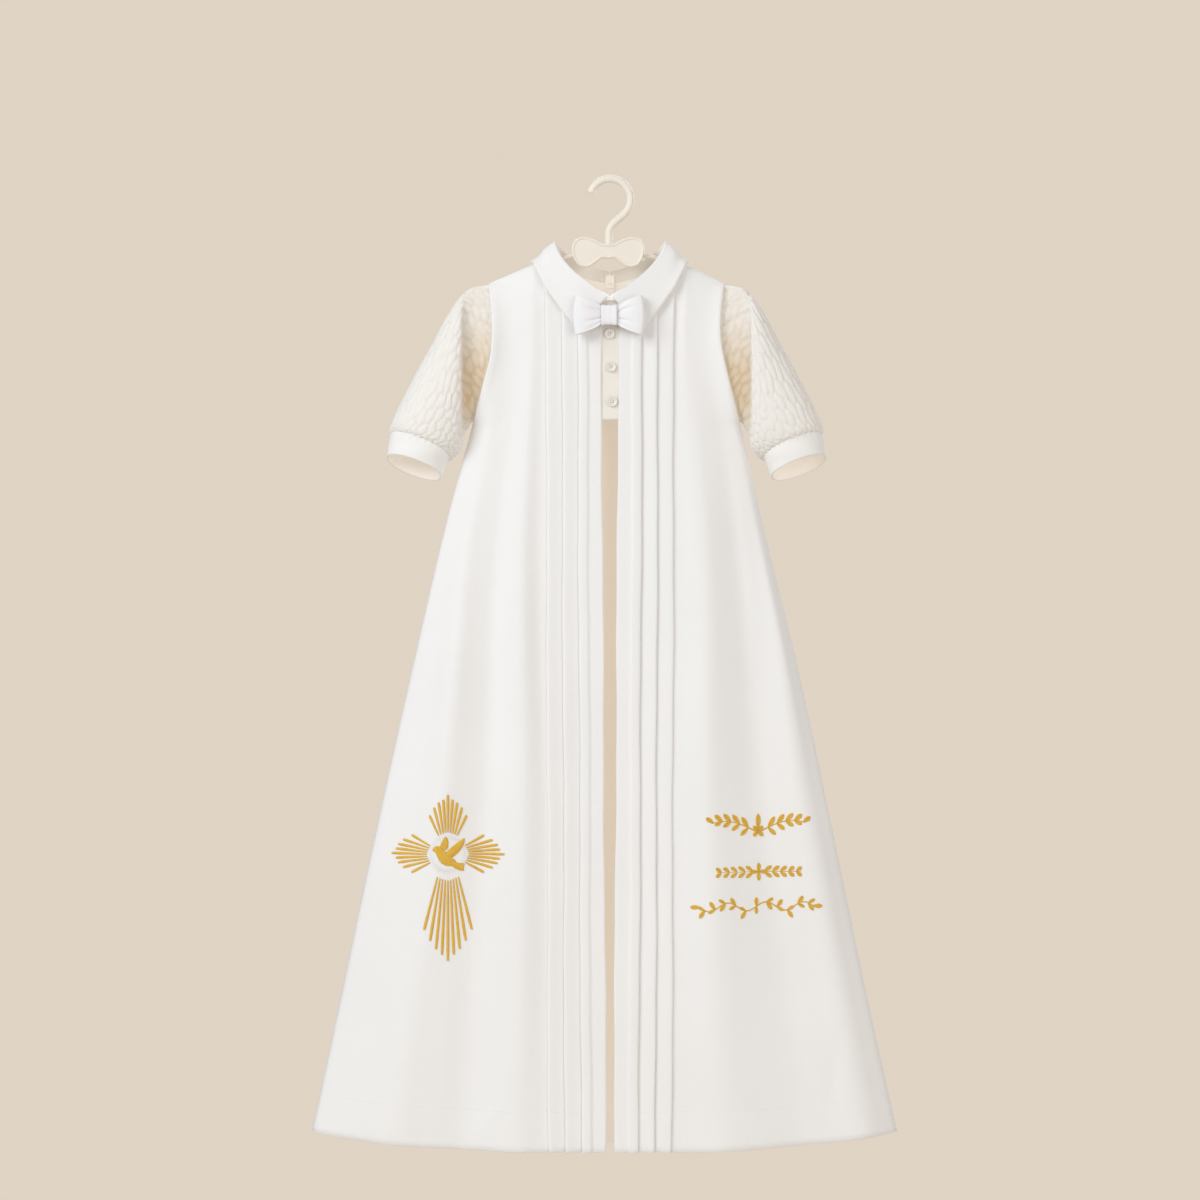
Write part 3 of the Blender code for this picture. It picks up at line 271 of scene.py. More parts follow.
def body_depth(face, side, out, z):
    """Distance of the cloth from the plane of the shoulder seams, before the soft folds."""
    across = np.clip(out / edge_distance(side, z), 0.0, 1.0)
    full = read_table(DEPTH, DEPTH_COLUMNS, z, face)
    neck = FRONT_NECK_DEPTH if face == "front" else BACK_NECK_DEPTH
    drop = np.clip(top_height(face, side, out) - z, 0.0, SHOULDER_ROUND)
    turned = np.sqrt(1.0 - (1.0 - drop / SHOULDER_ROUND) ** 2)
    lens = (1.0 - across ** SECTION_CURVE[0]) ** SECTION_CURVE[1]
    depth = neck * np.cos(neck_angle(out)) * (1.0 - turned) + full * lens * turned
    if face == "front":
        depth = np.maximum(depth, tuck_bulk(out))
    return depth + armhole_depth(face, z) * across ** ARMHOLE_REACH


def hem_height(across):
    """Height of the hem, which rises towards the side seams."""
    return HEM_CENTRE_Z + HEM_RISE * np.abs(across) ** HEM_CURVE


def square_to(line, sign):
    """Unit direction in the plane of the shoulders, square to a seam and pointing out of the gown."""
    square = np.array([line[2], 0.0, -line[0]])
    square /= np.linalg.norm(square)
    outward = sign * square[0] + square[2] / 3
    return square if outward > 0.0 else -square


def sleeve_section(row, around):
    """Ring of points of one sleeve or cuff section, front first, in the left sleeve's place."""
    angles = 2.0 * math.pi * np.arange(around) / around
    top = np.array([row["top_out"], row["top_z"]])
    bottom = np.array([row["bottom_out"], row["bottom_z"]])
    half = (top - bottom) / 2
    reach = np.linalg.norm(half)
    along_line = half / reach
    outward = np.array([-along_line[1], along_line[0]])
    if outward[1] < 0.0:
        outward = -outward
    place = (top + bottom) / 2 + np.outer(np.cos(angles) * reach, along_line)
    depth = row["depth"] * np.sign(np.sin(angles)) * np.abs(np.sin(angles)) ** SLEEVE_FULLNESS
    place += np.outer(depth * math.tan(math.radians(row["tilt"])), outward)
    return np.stack([SLEEVE_AXIS_X - place[:, 0], -depth, place[:, 1]], axis=1)


def armhole_ring(row, around, past):
    """Ring of points just inside the armhole's edge, which the sleeve's head follows."""
    angles = 2.0 * math.pi * np.arange(around) / around
    z = row["top_z"] + (row["bottom_z"] - row["top_z"]) * (1.0 - np.cos(angles)) / 2
    rim = np.clip(np.abs(np.sin(angles)) / math.sin(math.radians(SLEEVE_HEAD_RIM_ANGLE)), 0.0, 1.0)
    inset = CLOTH / 2 + SLEEVE_CLOTH / 2 + SLEEVE_HEAD_EASE
    front = -np.maximum(armhole_depth("front", z) - inset, LAYER_GAP) * rim
    back = np.maximum(armhole_depth("back", z) - inset, LAYER_GAP) * rim
    out = edge_distance("left", z) + past
    return np.stack([-out, np.where(np.sin(angles) >= 0.0, front, back), z], axis=1)


def outward_normals(grid):
    """Normals of a closed tube's grid, pointing away from its middle."""
    normal = surface_normals(grid, closed=True)
    centre = grid.mean(axis=0, keepdims=True)
    facing = np.sum((grid - centre) * normal)
    return normal if facing > 0.0 else -normal


def ring_normals(ring):
    """Normals of one flat ring in its own plane, pointing away from its middle."""
    tangent = np.roll(ring, -1, 0) - np.roll(ring, 1, 0)
    spoke = ring - ring.mean(axis=0)
    axis = np.cross(spoke, tangent).sum(axis=0)
    normal = np.cross(tangent, axis)
    normal /= np.linalg.norm(normal, axis=1, keepdims=True)
    return normal if np.sum(normal * spoke) > 0.0 else -normal


def mirrored(grid, side):
    """The left sleeve's points, or their mirror image for the right one."""
    if side == "left":
        return grid
    other = grid.copy()
    other[..., 0] = 2.0 * SLEEVE_AXIS_X - other[..., 0]
    return other


def roll_point(angle):
    """Point of the collar's roll line on the right side, 0 degrees at the front, 180 at the back."""
    turn = math.radians(angle)
    front = angle <= 90.0
    end = ROLL_FRONT_Z if front else ROLL_BACK_Z
    depth = ROLL_FRONT_DEPTH if front else ROLL_BACK_DEPTH
    share = abs(angle - 90.0) / 90.0
    z = ROLL_TOP_Z + (end - ROLL_TOP_Z) * share
    out = max(ROLL_HALF_WIDTH * math.sin(turn), collar_end_gap(angle))
    return np.array([out, -depth * math.cos(turn), z])


def collar_end_gap(angle):
    """Half of the space between the two collar halves, at the front and at the back."""
    return COLLAR_FRONT_GAP if angle <= 90.0 else COLLAR_BACK_GAP


def seam_point(angle):
    """Point of the collar's lower edge, just over the neckline."""
    turn = math.radians(angle)
    face = "front" if angle <= 90.0 else "back"
    depth = FRONT_NECK_DEPTH if angle <= 90.0 else BACK_NECK_DEPTH
    out = max(NECK_HALF_WIDTH * math.sin(turn), collar_end_gap(angle))
    z = float(top_height(face, "right", min(out, NECK_HALF_WIDTH - 1e-6)))
    lift = COLLAR_SEAM_LIFT[0] + COLLAR_SEAM_LIFT[1] * math.sin(turn)
    return np.array([out, -depth * math.cos(turn), z + lift])


def body_normal(face, out, z):
    """Point of the body's surface at a place on one half, as if it faced +Y, and its normal there."""
    step = NORMAL_STEP
    z = min(z, float(top_height(face, "right", out)) - 2.0 * step)
    depth = float(body_depth(face, "right", out, z))
    across = (float(body_depth(face, "right", out + step, z)) - depth) / step
    up = (float(body_depth(face, "right", out, z + step)) - depth) / step
    normal = np.array([-across, 1.0, -up])
    return np.array([out, depth, z]), normal / np.linalg.norm(normal)


def kept_clear(point, angle, clearance):
    """The point, moved out along the body's normal where it lies too close to the body."""
    if angle == 90.0:
        front = kept_clear(point, 0.0, clearance)
        return front * np.array([1.0, 0.0, 1.0])
    face = "front" if angle < 90.0 else "back"
    sign = -1.0 if face == "front" else 1.0
    moved = point * np.array([1.0, sign, 1.0])
    for _ in range(CLEARING_STEPS):
        surface, normal = body_normal(face, moved[0], moved[2])
        distance = float(np.dot(moved - surface, normal))
        moved = moved + normal * max(clearance - distance, 0.0)
    return moved * np.array([1.0, sign, 1.0])


def fall_point(angle):
    """Point of the collar's outer edge, lying over the body."""
    out = float(read_table(COLLAR_EDGE, COLLAR_COLUMNS, angle, "out"))
    z = float(read_table(COLLAR_EDGE, COLLAR_COLUMNS, angle, "z"))
    face = "front" if angle <= 90.0 else "back"
    sign = -1.0 if face == "front" else 1.0
    surface, normal = body_normal(face, out, z)
    if angle == 90.0:
        normal[1] = 0.0
        surface[1] = 0.0
    lift = COLLAR_LIFT + COLLAR_SHOULDER_LIFT * math.sin(math.radians(angle)) ** 4
    lifted = surface + normal / np.linalg.norm(normal) * lift
    return lifted * np.array([1.0, sign, 1.0])


def placket_back():
    """Distance of the placket's middle behind the line of the front panels."""
    return LAYER_PITCH + CLOTH / 2 + SEAM_GAP + PLACKET_CLOTH / 2


# Finer cloth of the visible gown
THIN = 0.0008
PITCH = 0.0016
HEM_BAND = 0.036
STITCH = 0.0026
STITCH_GAP = 0.0011
THREAD = 0.00045

# Half of the space where the collar halves meet at the front
COLLAR_MEETING = 0.0004
# How much higher the soft roll stands at the shoulder than in the solids
COLLAR_RISE = 0.0062

# Painted light: strength of the faint glow of the inside finishes, which stands in for light that comes through the
# cloth to its inside
PAINTED_GLOW_STRENGTH = 0.17

# Room: colour seen behind the gown, colour and strength of the soft light all round, and the lamps
WALL = (0.745, 0.655, 0.555)
AMBIENT = (1.0, 0.955, 0.905)
AMBIENT_STRENGTH = 0.50
LIGHTS = (
    ("key", (-2.35, -2.15, 1.1), 1.9, 65.0, (0.885, 0.945, 1.0)),
    ("fill", (1.6, -2.6, -0.1), 2.2, 25.0, (1.0, 0.965, 0.935)),
    ("rear", (0.6, 2.3, 0.6), 2.2, 40.0, (1.0, 0.97, 0.93)),
)

# Large folds as they hang: panel, centre and spread as shares of the panel's plain part, height in metres
FLUTES = (
    ("left", 0.13, 0.10, 0.0052),
    ("left", 0.36, 0.10, -0.0052),
    ("left", 0.65, 0.12, 0.0078),
    ("right", 0.24, 0.14, 0.0056),
    ("right", 0.58, 0.13, -0.0052),
    ("right", 0.86, 0.09, 0.0046),
    ("back", 0.00, 0.10, -0.0034),
    ("back", 0.24, 0.11, 0.0070),
    ("back", 0.46, 0.10, -0.0046),
    ("back", 0.68, 0.12, 0.0064),
)
FLUTES_START_Z = -0.140
FLUTES_FULL_Z = -0.540
# How much further out the folds lie near the top, and over what height they move in
FLUTES_SHIFT = 0.11
FLUTES_SHIFT_Z = (-0.30, -0.62)

# Soft creases of the panels: panel, start x and z, end x and z, width and height, all in metres
CREASES = (
    ("left", -0.0860, -0.110, -0.0870, -1.150, 0.0130, 0.0014),
    ("left", -0.1250, -0.260, -0.1270, -1.150, 0.0170, -0.0010),
    ("left", -0.1470, -0.330, -0.1740, -0.760, 0.0160, 0.0014),
    ("left", -0.1640, -0.600, -0.1700, -1.120, 0.0150, 0.0011),
    ("left", -0.2150, -0.640, -0.2340, -1.080, 0.0170, 0.0012),
    ("left", -0.1200, -0.085, -0.1230, -0.290, 0.0110, 0.0014),
    ("left", -0.2320, -0.800, -0.2080, -0.985, 0.0080, -0.0010),
    ("left", -0.1080, -0.915, -0.1480, -0.985, 0.0080, 0.0010),
    ("left", -0.1230, -0.240, -0.0930, -0.330, 0.0070, -0.0006),
    ("left", -0.2560, -0.880, -0.2350, -0.985, 0.0070, 0.0008),
    ("right", 0.0860, -0.110, 0.0960, -1.150, 0.0200, 0.0008),
    ("right", 0.1310, -0.300, 0.1430, -1.150, 0.0230, -0.0008),
    ("right", 0.1620, -0.380, 0.1960, -0.700, 0.0150, 0.0006),
    ("right", 0.2060, -0.560, 0.2560, -1.080, 0.0160, 0.0007),
    ("right", 0.1200, -0.085, 0.1240, -0.280, 0.0100, 0.0011),
    ("right", 0.1290, -0.300, 0.1500, -0.560, 0.0090, 0.0010),
    ("right", 0.2350, -0.830, 0.2140, -0.980, 0.0090, -0.0009),
    ("right", 0.1180, -0.890, 0.1600, -0.975, 0.0090, 0.0007),
    ("back", -0.0800, -0.120, -0.1050, -0.460, 0.0120, 0.0018),
    ("back", 0.0780, -0.125, 0.0980, -0.430, 0.0120, 0.0016),
    ("back", -0.0200, -0.180, -0.0300, -0.760, 0.0150, -0.0014),
    ("back", 0.1300, -0.262, 0.1600, -0.560, 0.0100, 0.0014),
    ("back", -0.1300, -0.262, -0.1560, -0.540, 0.0100, 0.0014),
    ("back", -0.1600, -0.700, -0.2000, -1.080, 0.0150, 0.0018),
    ("back", 0.1900, -0.680, 0.1500, -1.080, 0.0170, -0.0016),
    ("back", 0.0550, -0.780, 0.0850, -1.080, 0.0130, 0.0014),
    ("back", -0.0700, -0.820, -0.0500, -1.060, 0.0130, -0.0014),
)


def refined(breaks, step):
    """The breaks with enough even steps between them."""
    values = [breaks[0]]
    for start, end in zip(breaks, breaks[1:]):
        count = max(2, int(math.ceil((end - start) / step)))
        values += list(np.linspace(start, end, count + 1)[1:])
    return np.array(values)


FINE_ROWS = refined(ROWS, 0.0078)
FINE_UNDERARM = int(np.argmin(np.abs(FINE_ROWS - ROWS[UNDERARM_ROW])))


def crease_height(panel, x, z):
    """Height of the small soft creases at a place of a panel."""
    total = np.zeros(np.broadcast(x, z).shape)
    for name, x0, z0, x1, z1, width, height in CREASES:
        if name != panel:
            continue
        length = math.hypot(x1 - x0, z1 - z0)
        run = ((x - x0) * (x1 - x0) + (z - z0) * (z1 - z0)) / length ** 2
        aside = ((x - x0) * (z1 - z0) - (z - z0) * (x1 - x0)) / length
        bent = aside + 0.10 * width * np.sin(5.0 * run + 40.0 * x0)
        taper = np.sin(math.pi * np.clip(run, 0.0, 1.0)) ** 0.8
        total += height * taper * np.exp(-(bent / width) ** 2)
    return total


def hanging_folds(panel, place, x, z):
    """The panel's large folds and creases together, level at its side seam."""
    grown = smooth_step((FLUTES_START_Z - z) / (FLUTES_START_Z - FLUTES_FULL_Z))
    moved = smooth_step((FLUTES_SHIFT_Z[0] - z) / (FLUTES_SHIFT_Z[0] - FLUTES_SHIFT_Z[1]))
    shift = FLUTES_SHIFT * (1.0 - moved) * (panel != "back")
    shape = sum(height * np.exp(-((place - shift - centre) / spread) ** 2)
                for name, centre, spread, height in FLUTES if name == panel)
    edge = 1.0 - smooth_step((place - 0.90) / 0.10)
    return (shape * grown + crease_height(panel, x, z)) * edge


def hem_relief(z, hem):
    """The doubled cloth of the hem and the furrow of its stitching."""
    up = z - hem
    band = 0.00030 * (1.0 - smooth_step((up - HEM_BAND + 0.0010) / 0.0020))
    furrow = -0.00035 * np.exp(-((up - HEM_BAND) / 0.0016) ** 2)
    return band + furrow


def wavering(place, z):
    """How far pressed lines wander sideways."""
    wide = 0.00055 * np.sin(2.0 * math.pi * z / 0.37 + 61.0 * place)
    fine = 0.00025 * np.sin(2.0 * math.pi * z / 0.113 + 137.0 * place)
    return wide + fine


# Building meshes

def distance_along(grid, axis, closed=False):
    """Running distance along one axis of a grid of points."""
    moved = np.concatenate([grid, grid[:1]], 0) if closed else grid
    step = np.linalg.norm(np.diff(moved, axis=axis), axis=2)
    start = np.zeros_like(np.take(step, [0], axis=axis))
    return np.cumsum(np.concatenate([start, step], axis=axis), axis=axis)


def quads(columns, rows, closed):
    """Corner columns and rows of a grid's faces."""
    spans = columns if closed else columns - 1
    column, row = np.meshgrid(np.arange(spans), np.arange(rows - 1), indexing="ij")
    column, row = column.ravel(), row.ravel()
    return (np.stack([column, column, column + 1, column + 1], 1), np.stack([row, row + 1, row + 1, row], 1))


def new_piece(name, points, faces, finish, uv=None, smooth=True):
    """A mesh object. uv holds one pair for every corner of every face."""
    mesh = bpy.data.meshes.new(name)
    mesh.from_pydata(np.asarray(points).tolist(), [], [list(map(int, face)) for face in faces])
    if uv is not None:
        layer = mesh.uv_layers.new(name="cloth")
        layer.data.foreach_set("uv", np.asarray(uv, dtype=np.float32).ravel())
    mesh.validate()
    if smooth:
        mesh.shade_smooth()
    mesh.materials.append(finish)
    piece = bpy.data.objects.new(name, mesh)
    bpy.context.collection.objects.link(piece)
    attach(piece, "root")
    return piece


def cloth_wall(name, middle, normal, thickness, finish, closed=False, shade=None, lip=0.7, inside=None):
    """A cloth of even thickness over a grid, with rounded edges, and its own finish on the inside."""
    columns, rows = middle.shape[:2]
    outer = middle + normal * thickness / 2
    inner = middle - normal * thickness / 2
    count = columns * rows
    across = distance_along(middle, 0, closed)
    if not closed:
        across = across - across[columns // 2]
    down = distance_along(middle, 1)
    if closed:
        down = np.concatenate([down, down[:1]], 0)
    corner_column, corner_row = quads(columns, rows, closed)
    index = (corner_column % columns) * rows + corner_row
    uv = np.stack([across[corner_column, corner_row], down[corner_column, corner_row]], 2)
    points = [outer.reshape(-1, 3), inner.reshape(-1, 3)]
    faces = [index, index[:, ::-1] + count]
    uvs = [uv, uv[:, ::-1]]
    rims = []
    down_out = middle[:, -1] - middle[:, -2]
    up_out = middle[:, 0] - middle[:, 1]
    if closed:
        ring = list(range(columns))
        rims.append(([(c, 0) for c in ring] + [(0, 0)], up_out[ring + [0]], True))
        rims.append(([(c, rows - 1) for c in ring[::-1]] + [(columns - 1, rows - 1)], down_out[ring[::-1] + [columns - 1]], True))
    else:
        left_out = middle[0] - middle[1]
        right_out = middle[-1] - middle[-2]
        path = [(c, 0) for c in range(columns)] + [(columns - 1, r) for r in range(1, rows)]
        out = [up_out[c] for c in range(columns)] + [right_out[r] for r in range(1, rows)]
        path += [(c, rows - 1) for c in range(columns - 2, -1, -1)] + [(0, r) for r in range(rows - 2, -1, -1)]
        out += [down_out[c] for c in range(columns - 2, -1, -1)] + [left_out[r] for r in range(rows - 2, -1, -1)]
        rims.append((path, np.array(out), False))
    start = 2 * count
    for path, out, _ in rims:
        path_c = np.array([c for c, _ in path])
        path_r = np.array([r for _, r in path])
        out = out / np.maximum(np.linalg.norm(out, axis=1, keepdims=True), 1e-12)
        rim = middle[path_c, path_r] + out * thickness / 2 * lip
        number = len(path)
        points.append(rim)
        ids = path_c * rows + path_r
        rim_ids = start + np.arange(number)
        rim_ids[-1] = start
        side_uv = np.stack([across[path_c, path_r], down[path_c, path_r]], 1)
        for low, high in ((ids, rim_ids), (rim_ids, ids + count)):
            face = np.stack([low[:-1], low[1:], high[1:], high[:-1]], 1)
            faces.append(face)
            uvs.append(np.stack([side_uv[:-1], side_uv[1:], side_uv[1:], side_uv[:-1]], 1))
        start += number
    points = np.concatenate(points)
    faces = np.concatenate(faces)
    uv = np.concatenate(uvs).reshape(-1, 2)
    piece = new_piece(name, points, faces, finish, uv)
    if inside is not None:
        piece.data.materials.append(inside)
        slots = np.zeros(len(piece.data.polygons), dtype=np.int32)
        slots[len(index):2 * len(index)] = 1
        piece.data.polygons.foreach_set("material_index", slots)
    if shade is not None:
        layer = piece.data.attributes.new("shade", "FLOAT", "POINT")
        values = [shade.ravel(), shade.ravel()] + [shade[[c for c, _ in path], [r for _, r in path]] for path, _, _ in rims]
        layer.data.foreach_set("value", np.concatenate(values).astype(np.float32))
    return piece


def cut_area(grid, closed=False):
    """Area of a grid's cloth."""
    moved = np.concatenate([grid, grid[:1]], 0) if closed else grid
    one = np.cross(moved[1:, :-1] - moved[:-1, :-1], moved[:-1, 1:] - moved[:-1, :-1])
    two = np.cross(moved[1:, 1:] - moved[1:, :-1], moved[1:, 1:] - moved[:-1, 1:])
    return float((np.linalg.norm(one, axis=2) + np.linalg.norm(two, axis=2)).sum() / 2)


def declare_sheet(piece, grid, closed=False):
    """States the flat size of a cloth from its own widest and longest measures."""
    width = max(float(distance_along(grid, 0, closed)[-1].max()), 0.0105)
    length = max(float(distance_along(grid, 1)[:, -1].max()), 0.0105)
    area = cut_area(grid, closed)
    flat_sizes[piece.name] = (round(width, 3), round(length, 3), round(area, 4))


flat_sizes = {}


# Materials

def finish_nodes(name):
    """A new finish with its node tree and its shader."""
    finish = bpy.data.materials.new(name)
    finish.use_nodes = True
    tree = finish.node_tree
    shader = tree.nodes["Principled BSDF"]
    return finish, tree, shader


def link_noise(tree, source, scale, detail):
    """A noise over a place."""
    noise = tree.nodes.new("ShaderNodeTexNoise")
    noise.inputs["Scale"].default_value = scale
    noise.inputs["Detail"].default_value = detail
    tree.links.new(source, noise.inputs["Vector"])
    return noise.outputs["Fac"]


def mixed(tree, factor, low, high):
    """A mix of two colours by a factor."""
    mix = tree.nodes.new("ShaderNodeMix")
    mix.data_type = "RGBA"
    mix.inputs["A"].default_value = (*low, 1.0)
    mix.inputs["B"].default_value = (*high, 1.0)
    if factor is not None:
        tree.links.new(factor, mix.inputs["Factor"])
    return mix.outputs["Result"]


def cloth_finish(name, low, high, thread=0.00042, weave=0.00006, roughness=0.82, sheen=0.25, slub=0.35, painted_shade_colour=None,
                 glow=None):
    """A woven cloth: crossing threads, uneven yarn and a faint mottle, with painted shade from the shade attribute and
    a painted glow where these colours are given.
    """
    finish, tree, shader = finish_nodes(name)
    place = tree.nodes.new("ShaderNodeTexCoord").outputs["UV"]
    solid = tree.nodes.new("ShaderNodeTexCoord").outputs["Object"]
    waves = []
    for direction in ("X", "Y"):
        wave = tree.nodes.new("ShaderNodeTexWave")
        wave.bands_direction = direction
        wave.inputs["Scale"].default_value = 0.05 * 2.0 * math.pi / thread
        wave.inputs["Distortion"].default_value = 0.6
        wave.inputs["Detail"].default_value = 1.0
        wave.inputs["Detail Scale"].default_value = 0.4
        tree.links.new(place, wave.inputs["Vector"])
        waves.append(wave.outputs["Fac"])
    crossed = tree.nodes.new("ShaderNodeMath")
    crossed.operation = "MAXIMUM"
    tree.links.new(waves[0], crossed.inputs[0])
    tree.links.new(waves[1], crossed.inputs[1])
    yarn = link_noise(tree, place, 900.0, 3.0)
    both = tree.nodes.new("ShaderNodeMath")
    both.operation = "MULTIPLY_ADD"
    both.inputs[1].default_value = slub
    tree.links.new(yarn, both.inputs[0])
    tree.links.new(crossed.outputs[0], both.inputs[2])
    bump = tree.nodes.new("ShaderNodeBump")
    bump.inputs["Strength"].default_value = 0.55
    bump.inputs["Distance"].default_value = weave
    tree.links.new(both.outputs[0], bump.inputs["Height"])
    soft = tree.nodes.new("ShaderNodeBump")
    soft.inputs["Strength"].default_value = 0.30
    soft.inputs["Distance"].default_value = 0.0012
    tree.links.new(link_noise(tree, solid, 26.0, 3.0), soft.inputs["Height"])
    tree.links.new(bump.outputs["Normal"], soft.inputs["Normal"])
    tree.links.new(soft.outputs["Normal"], shader.inputs["Normal"])
    colour = mixed(tree, link_noise(tree, solid, 9.0, 4.0), low, high)
    # Painted shade: the base colour is mixed towards the given shade colour by the mesh's shade attribute.
    if painted_shade_colour is not None:
        shade = tree.nodes.new("ShaderNodeAttribute")
        shade.attribute_name = "shade"
        tint = tree.nodes.new("ShaderNodeMix")
        tint.data_type = "RGBA"
        tint.inputs["B"].default_value = (*painted_shade_colour, 1.0)
        tree.links.new(shade.outputs["Fac"], tint.inputs["Factor"])
        tree.links.new(colour, tint.inputs["A"])
        colour = tint.outputs["Result"]
    tree.links.new(colour, shader.inputs["Base Color"])
    rough = tree.nodes.new("ShaderNodeMapRange")
    rough.inputs["To Min"].default_value = roughness - 0.06
    rough.inputs["To Max"].default_value = roughness + 0.06
    tree.links.new(yarn, rough.inputs["Value"])
    tree.links.new(rough.outputs["Result"], shader.inputs["Roughness"])
    shader.inputs["Sheen Weight"].default_value = sheen
    shader.inputs["Sheen Roughness"].default_value = 0.5
    shader.inputs["Specular IOR Level"].default_value = 0.25
    # Painted light: a faint constant glow that stands in for light coming through the cloth.
    if glow is not None:
        shader.inputs["Emission Color"].default_value = (*glow, 1.0)
        shader.inputs["Emission Strength"].default_value = PAINTED_GLOW_STRENGTH
    return finish


def thread_finish(name, low, high, roughness, sheen, grain=2600.0):
    """Twisted embroidery or sewing thread."""
    finish, tree, shader = finish_nodes(name)
    solid = tree.nodes.new("ShaderNodeTexCoord").outputs["Object"]
    strand = link_noise(tree, solid, grain, 2.0)
    bump = tree.nodes.new("ShaderNodeBump")
    bump.inputs["Strength"].default_value = 0.4
    bump.inputs["Distance"].default_value = 0.00005
    tree.links.new(strand, bump.inputs["Height"])
    tree.links.new(bump.outputs["Normal"], shader.inputs["Normal"])
    tree.links.new(mixed(tree, link_noise(tree, solid, 320.0, 3.0), low, high), shader.inputs["Base Color"])
    shader.inputs["Roughness"].default_value = roughness
    shader.inputs["Sheen Weight"].default_value = sheen
    shader.inputs["Specular IOR Level"].default_value = 0.6
    return finish


def moulded_finish(name, low, high, roughness, bump_scale=420.0, bump_height=0.00004, coat=0.0):
    """Moulded plastic: a faint mottle and the fine ripple of the mould."""
    finish, tree, shader = finish_nodes(name)
    solid = tree.nodes.new("ShaderNodeTexCoord").outputs["Object"]
    bump = tree.nodes.new("ShaderNodeBump")
    bump.inputs["Strength"].default_value = 0.5
    bump.inputs["Distance"].default_value = bump_height
    tree.links.new(link_noise(tree, solid, bump_scale, 3.0), bump.inputs["Height"])
    tree.links.new(bump.outputs["Normal"], shader.inputs["Normal"])
    tree.links.new(mixed(tree, link_noise(tree, solid, 60.0, 3.0), low, high), shader.inputs["Base Color"])
    rough = tree.nodes.new("ShaderNodeMapRange")
    rough.inputs["To Min"].default_value = roughness - 0.05
    rough.inputs["To Max"].default_value = roughness + 0.07
    tree.links.new(link_noise(tree, solid, 110.0, 4.0), rough.inputs["Value"])
    tree.links.new(rough.outputs["Result"], shader.inputs["Roughness"])
    shader.inputs["Coat Weight"].default_value = coat
    shader.inputs["Coat Roughness"].default_value = 0.2
    return finish


WHITE = cloth_finish("white_cotton_cloth", (0.86, 0.853, 0.845), (0.90, 0.896, 0.89))
# Inside of the white cloth: a warmer, darker copy of the white as painted shade, with a painted warm glow for light
# through the cloth.
WHITE_INSIDE = cloth_finish("white_cotton_inside", (0.84, 0.805, 0.755), (0.87, 0.84, 0.795), glow=(1.0, 0.88, 0.75))
# Smocked cream cloth; its tan colour is painted shade, mixed in by the shade attribute in the recess beside each
# armhole and along the smocking's outlines.
CREAM = cloth_finish("cream_smocked_cloth", (0.86, 0.835, 0.79), (0.89, 0.87, 0.84), roughness=0.86,
                     painted_shade_colour=(0.70, 0.545, 0.35))
IVORY = cloth_finish("ivory_cotton_cloth", (0.845, 0.80, 0.735), (0.875, 0.835, 0.775))
# Ivory cloth of the back strip and neck tab, with a painted glow that lightens them in the shade inside the neck.
IVORY_INSIDE = cloth_finish("ivory_cotton_inside", (0.85, 0.815, 0.76), (0.88, 0.85, 0.80), glow=(1.0, 0.93, 0.84))
# Collar cloth; the shade attribute mixes in a painted shade colour on the stand's inner face, inside the neck.
COLLAR = cloth_finish("collar_cotton_cloth", (0.86, 0.853, 0.845), (0.90, 0.896, 0.89), painted_shade_colour=(0.89, 0.85, 0.785))
# Collar underside with a painted glow, which lightens the shaded crevice between the collar and the body.
COLLAR_UNDER = cloth_finish("collar_cotton_underside", (0.86, 0.853, 0.845), (0.90, 0.896, 0.89),
                            glow=(1.0, 0.96, 0.91))
BAND = cloth_finish("cuff_cotton_cloth", (0.885, 0.875, 0.855), (0.91, 0.90, 0.885), thread=0.00050)
SATIN = cloth_finish("white_satin_ribbon", (0.86, 0.86, 0.88), (0.895, 0.895, 0.91), thread=0.00018, weave=0.00002,
                     roughness=0.42, sheen=0.5, slub=0.2)
# Cream cord: the neck tab's loop mark, and the cords along the collar's edges, whose darker colour is a painted shadow
# line under the collar's edge.
CORD_WITH_SHADE_LINE = cloth_finish("cream_piping", (0.80, 0.72, 0.58), (0.84, 0.77, 0.64), roughness=0.8)
GOLD = thread_finish("gold_thread", (0.66, 0.36, 0.018), (0.82, 0.52, 0.045), 0.36, 0.2)
SILVER = thread_finish("pale_silver_thread", (0.70, 0.695, 0.71), (0.84, 0.835, 0.85), 0.35, 0.3)
SEWING = thread_finish("white_sewing_thread", (0.83, 0.81, 0.78), (0.88, 0.865, 0.84), 0.5, 0.2)
PEARL = moulded_finish("pearl_button_resin", (0.80, 0.75, 0.68), (0.85, 0.81, 0.75), 0.34, 900.0, 0.00002, 0.15)
PLASTIC = moulded_finish("ivory_hanger_plastic", (0.84, 0.79, 0.69), (0.87, 0.825, 0.735), 0.36)


# Front and back panels

def pleat_slope(fold, past):
    """How far a pleat's top lies behind the front at a distance before its edge."""
    rolled = 0.0008 * min(max(1.0 + past / 0.0032, 0.0), 1.0) ** 2
    if fold < 1:
        return rolled
    width = TUCKS[fold][0] - TUCKS[fold - 1][0] - 0.0006
    share = min(max(1.0 + past / width, 0.0), 1.0)
    return 2.0 * PITCH * (1.0 - 0.7 * share - 0.3 * float(smooth_step(share))) + rolled


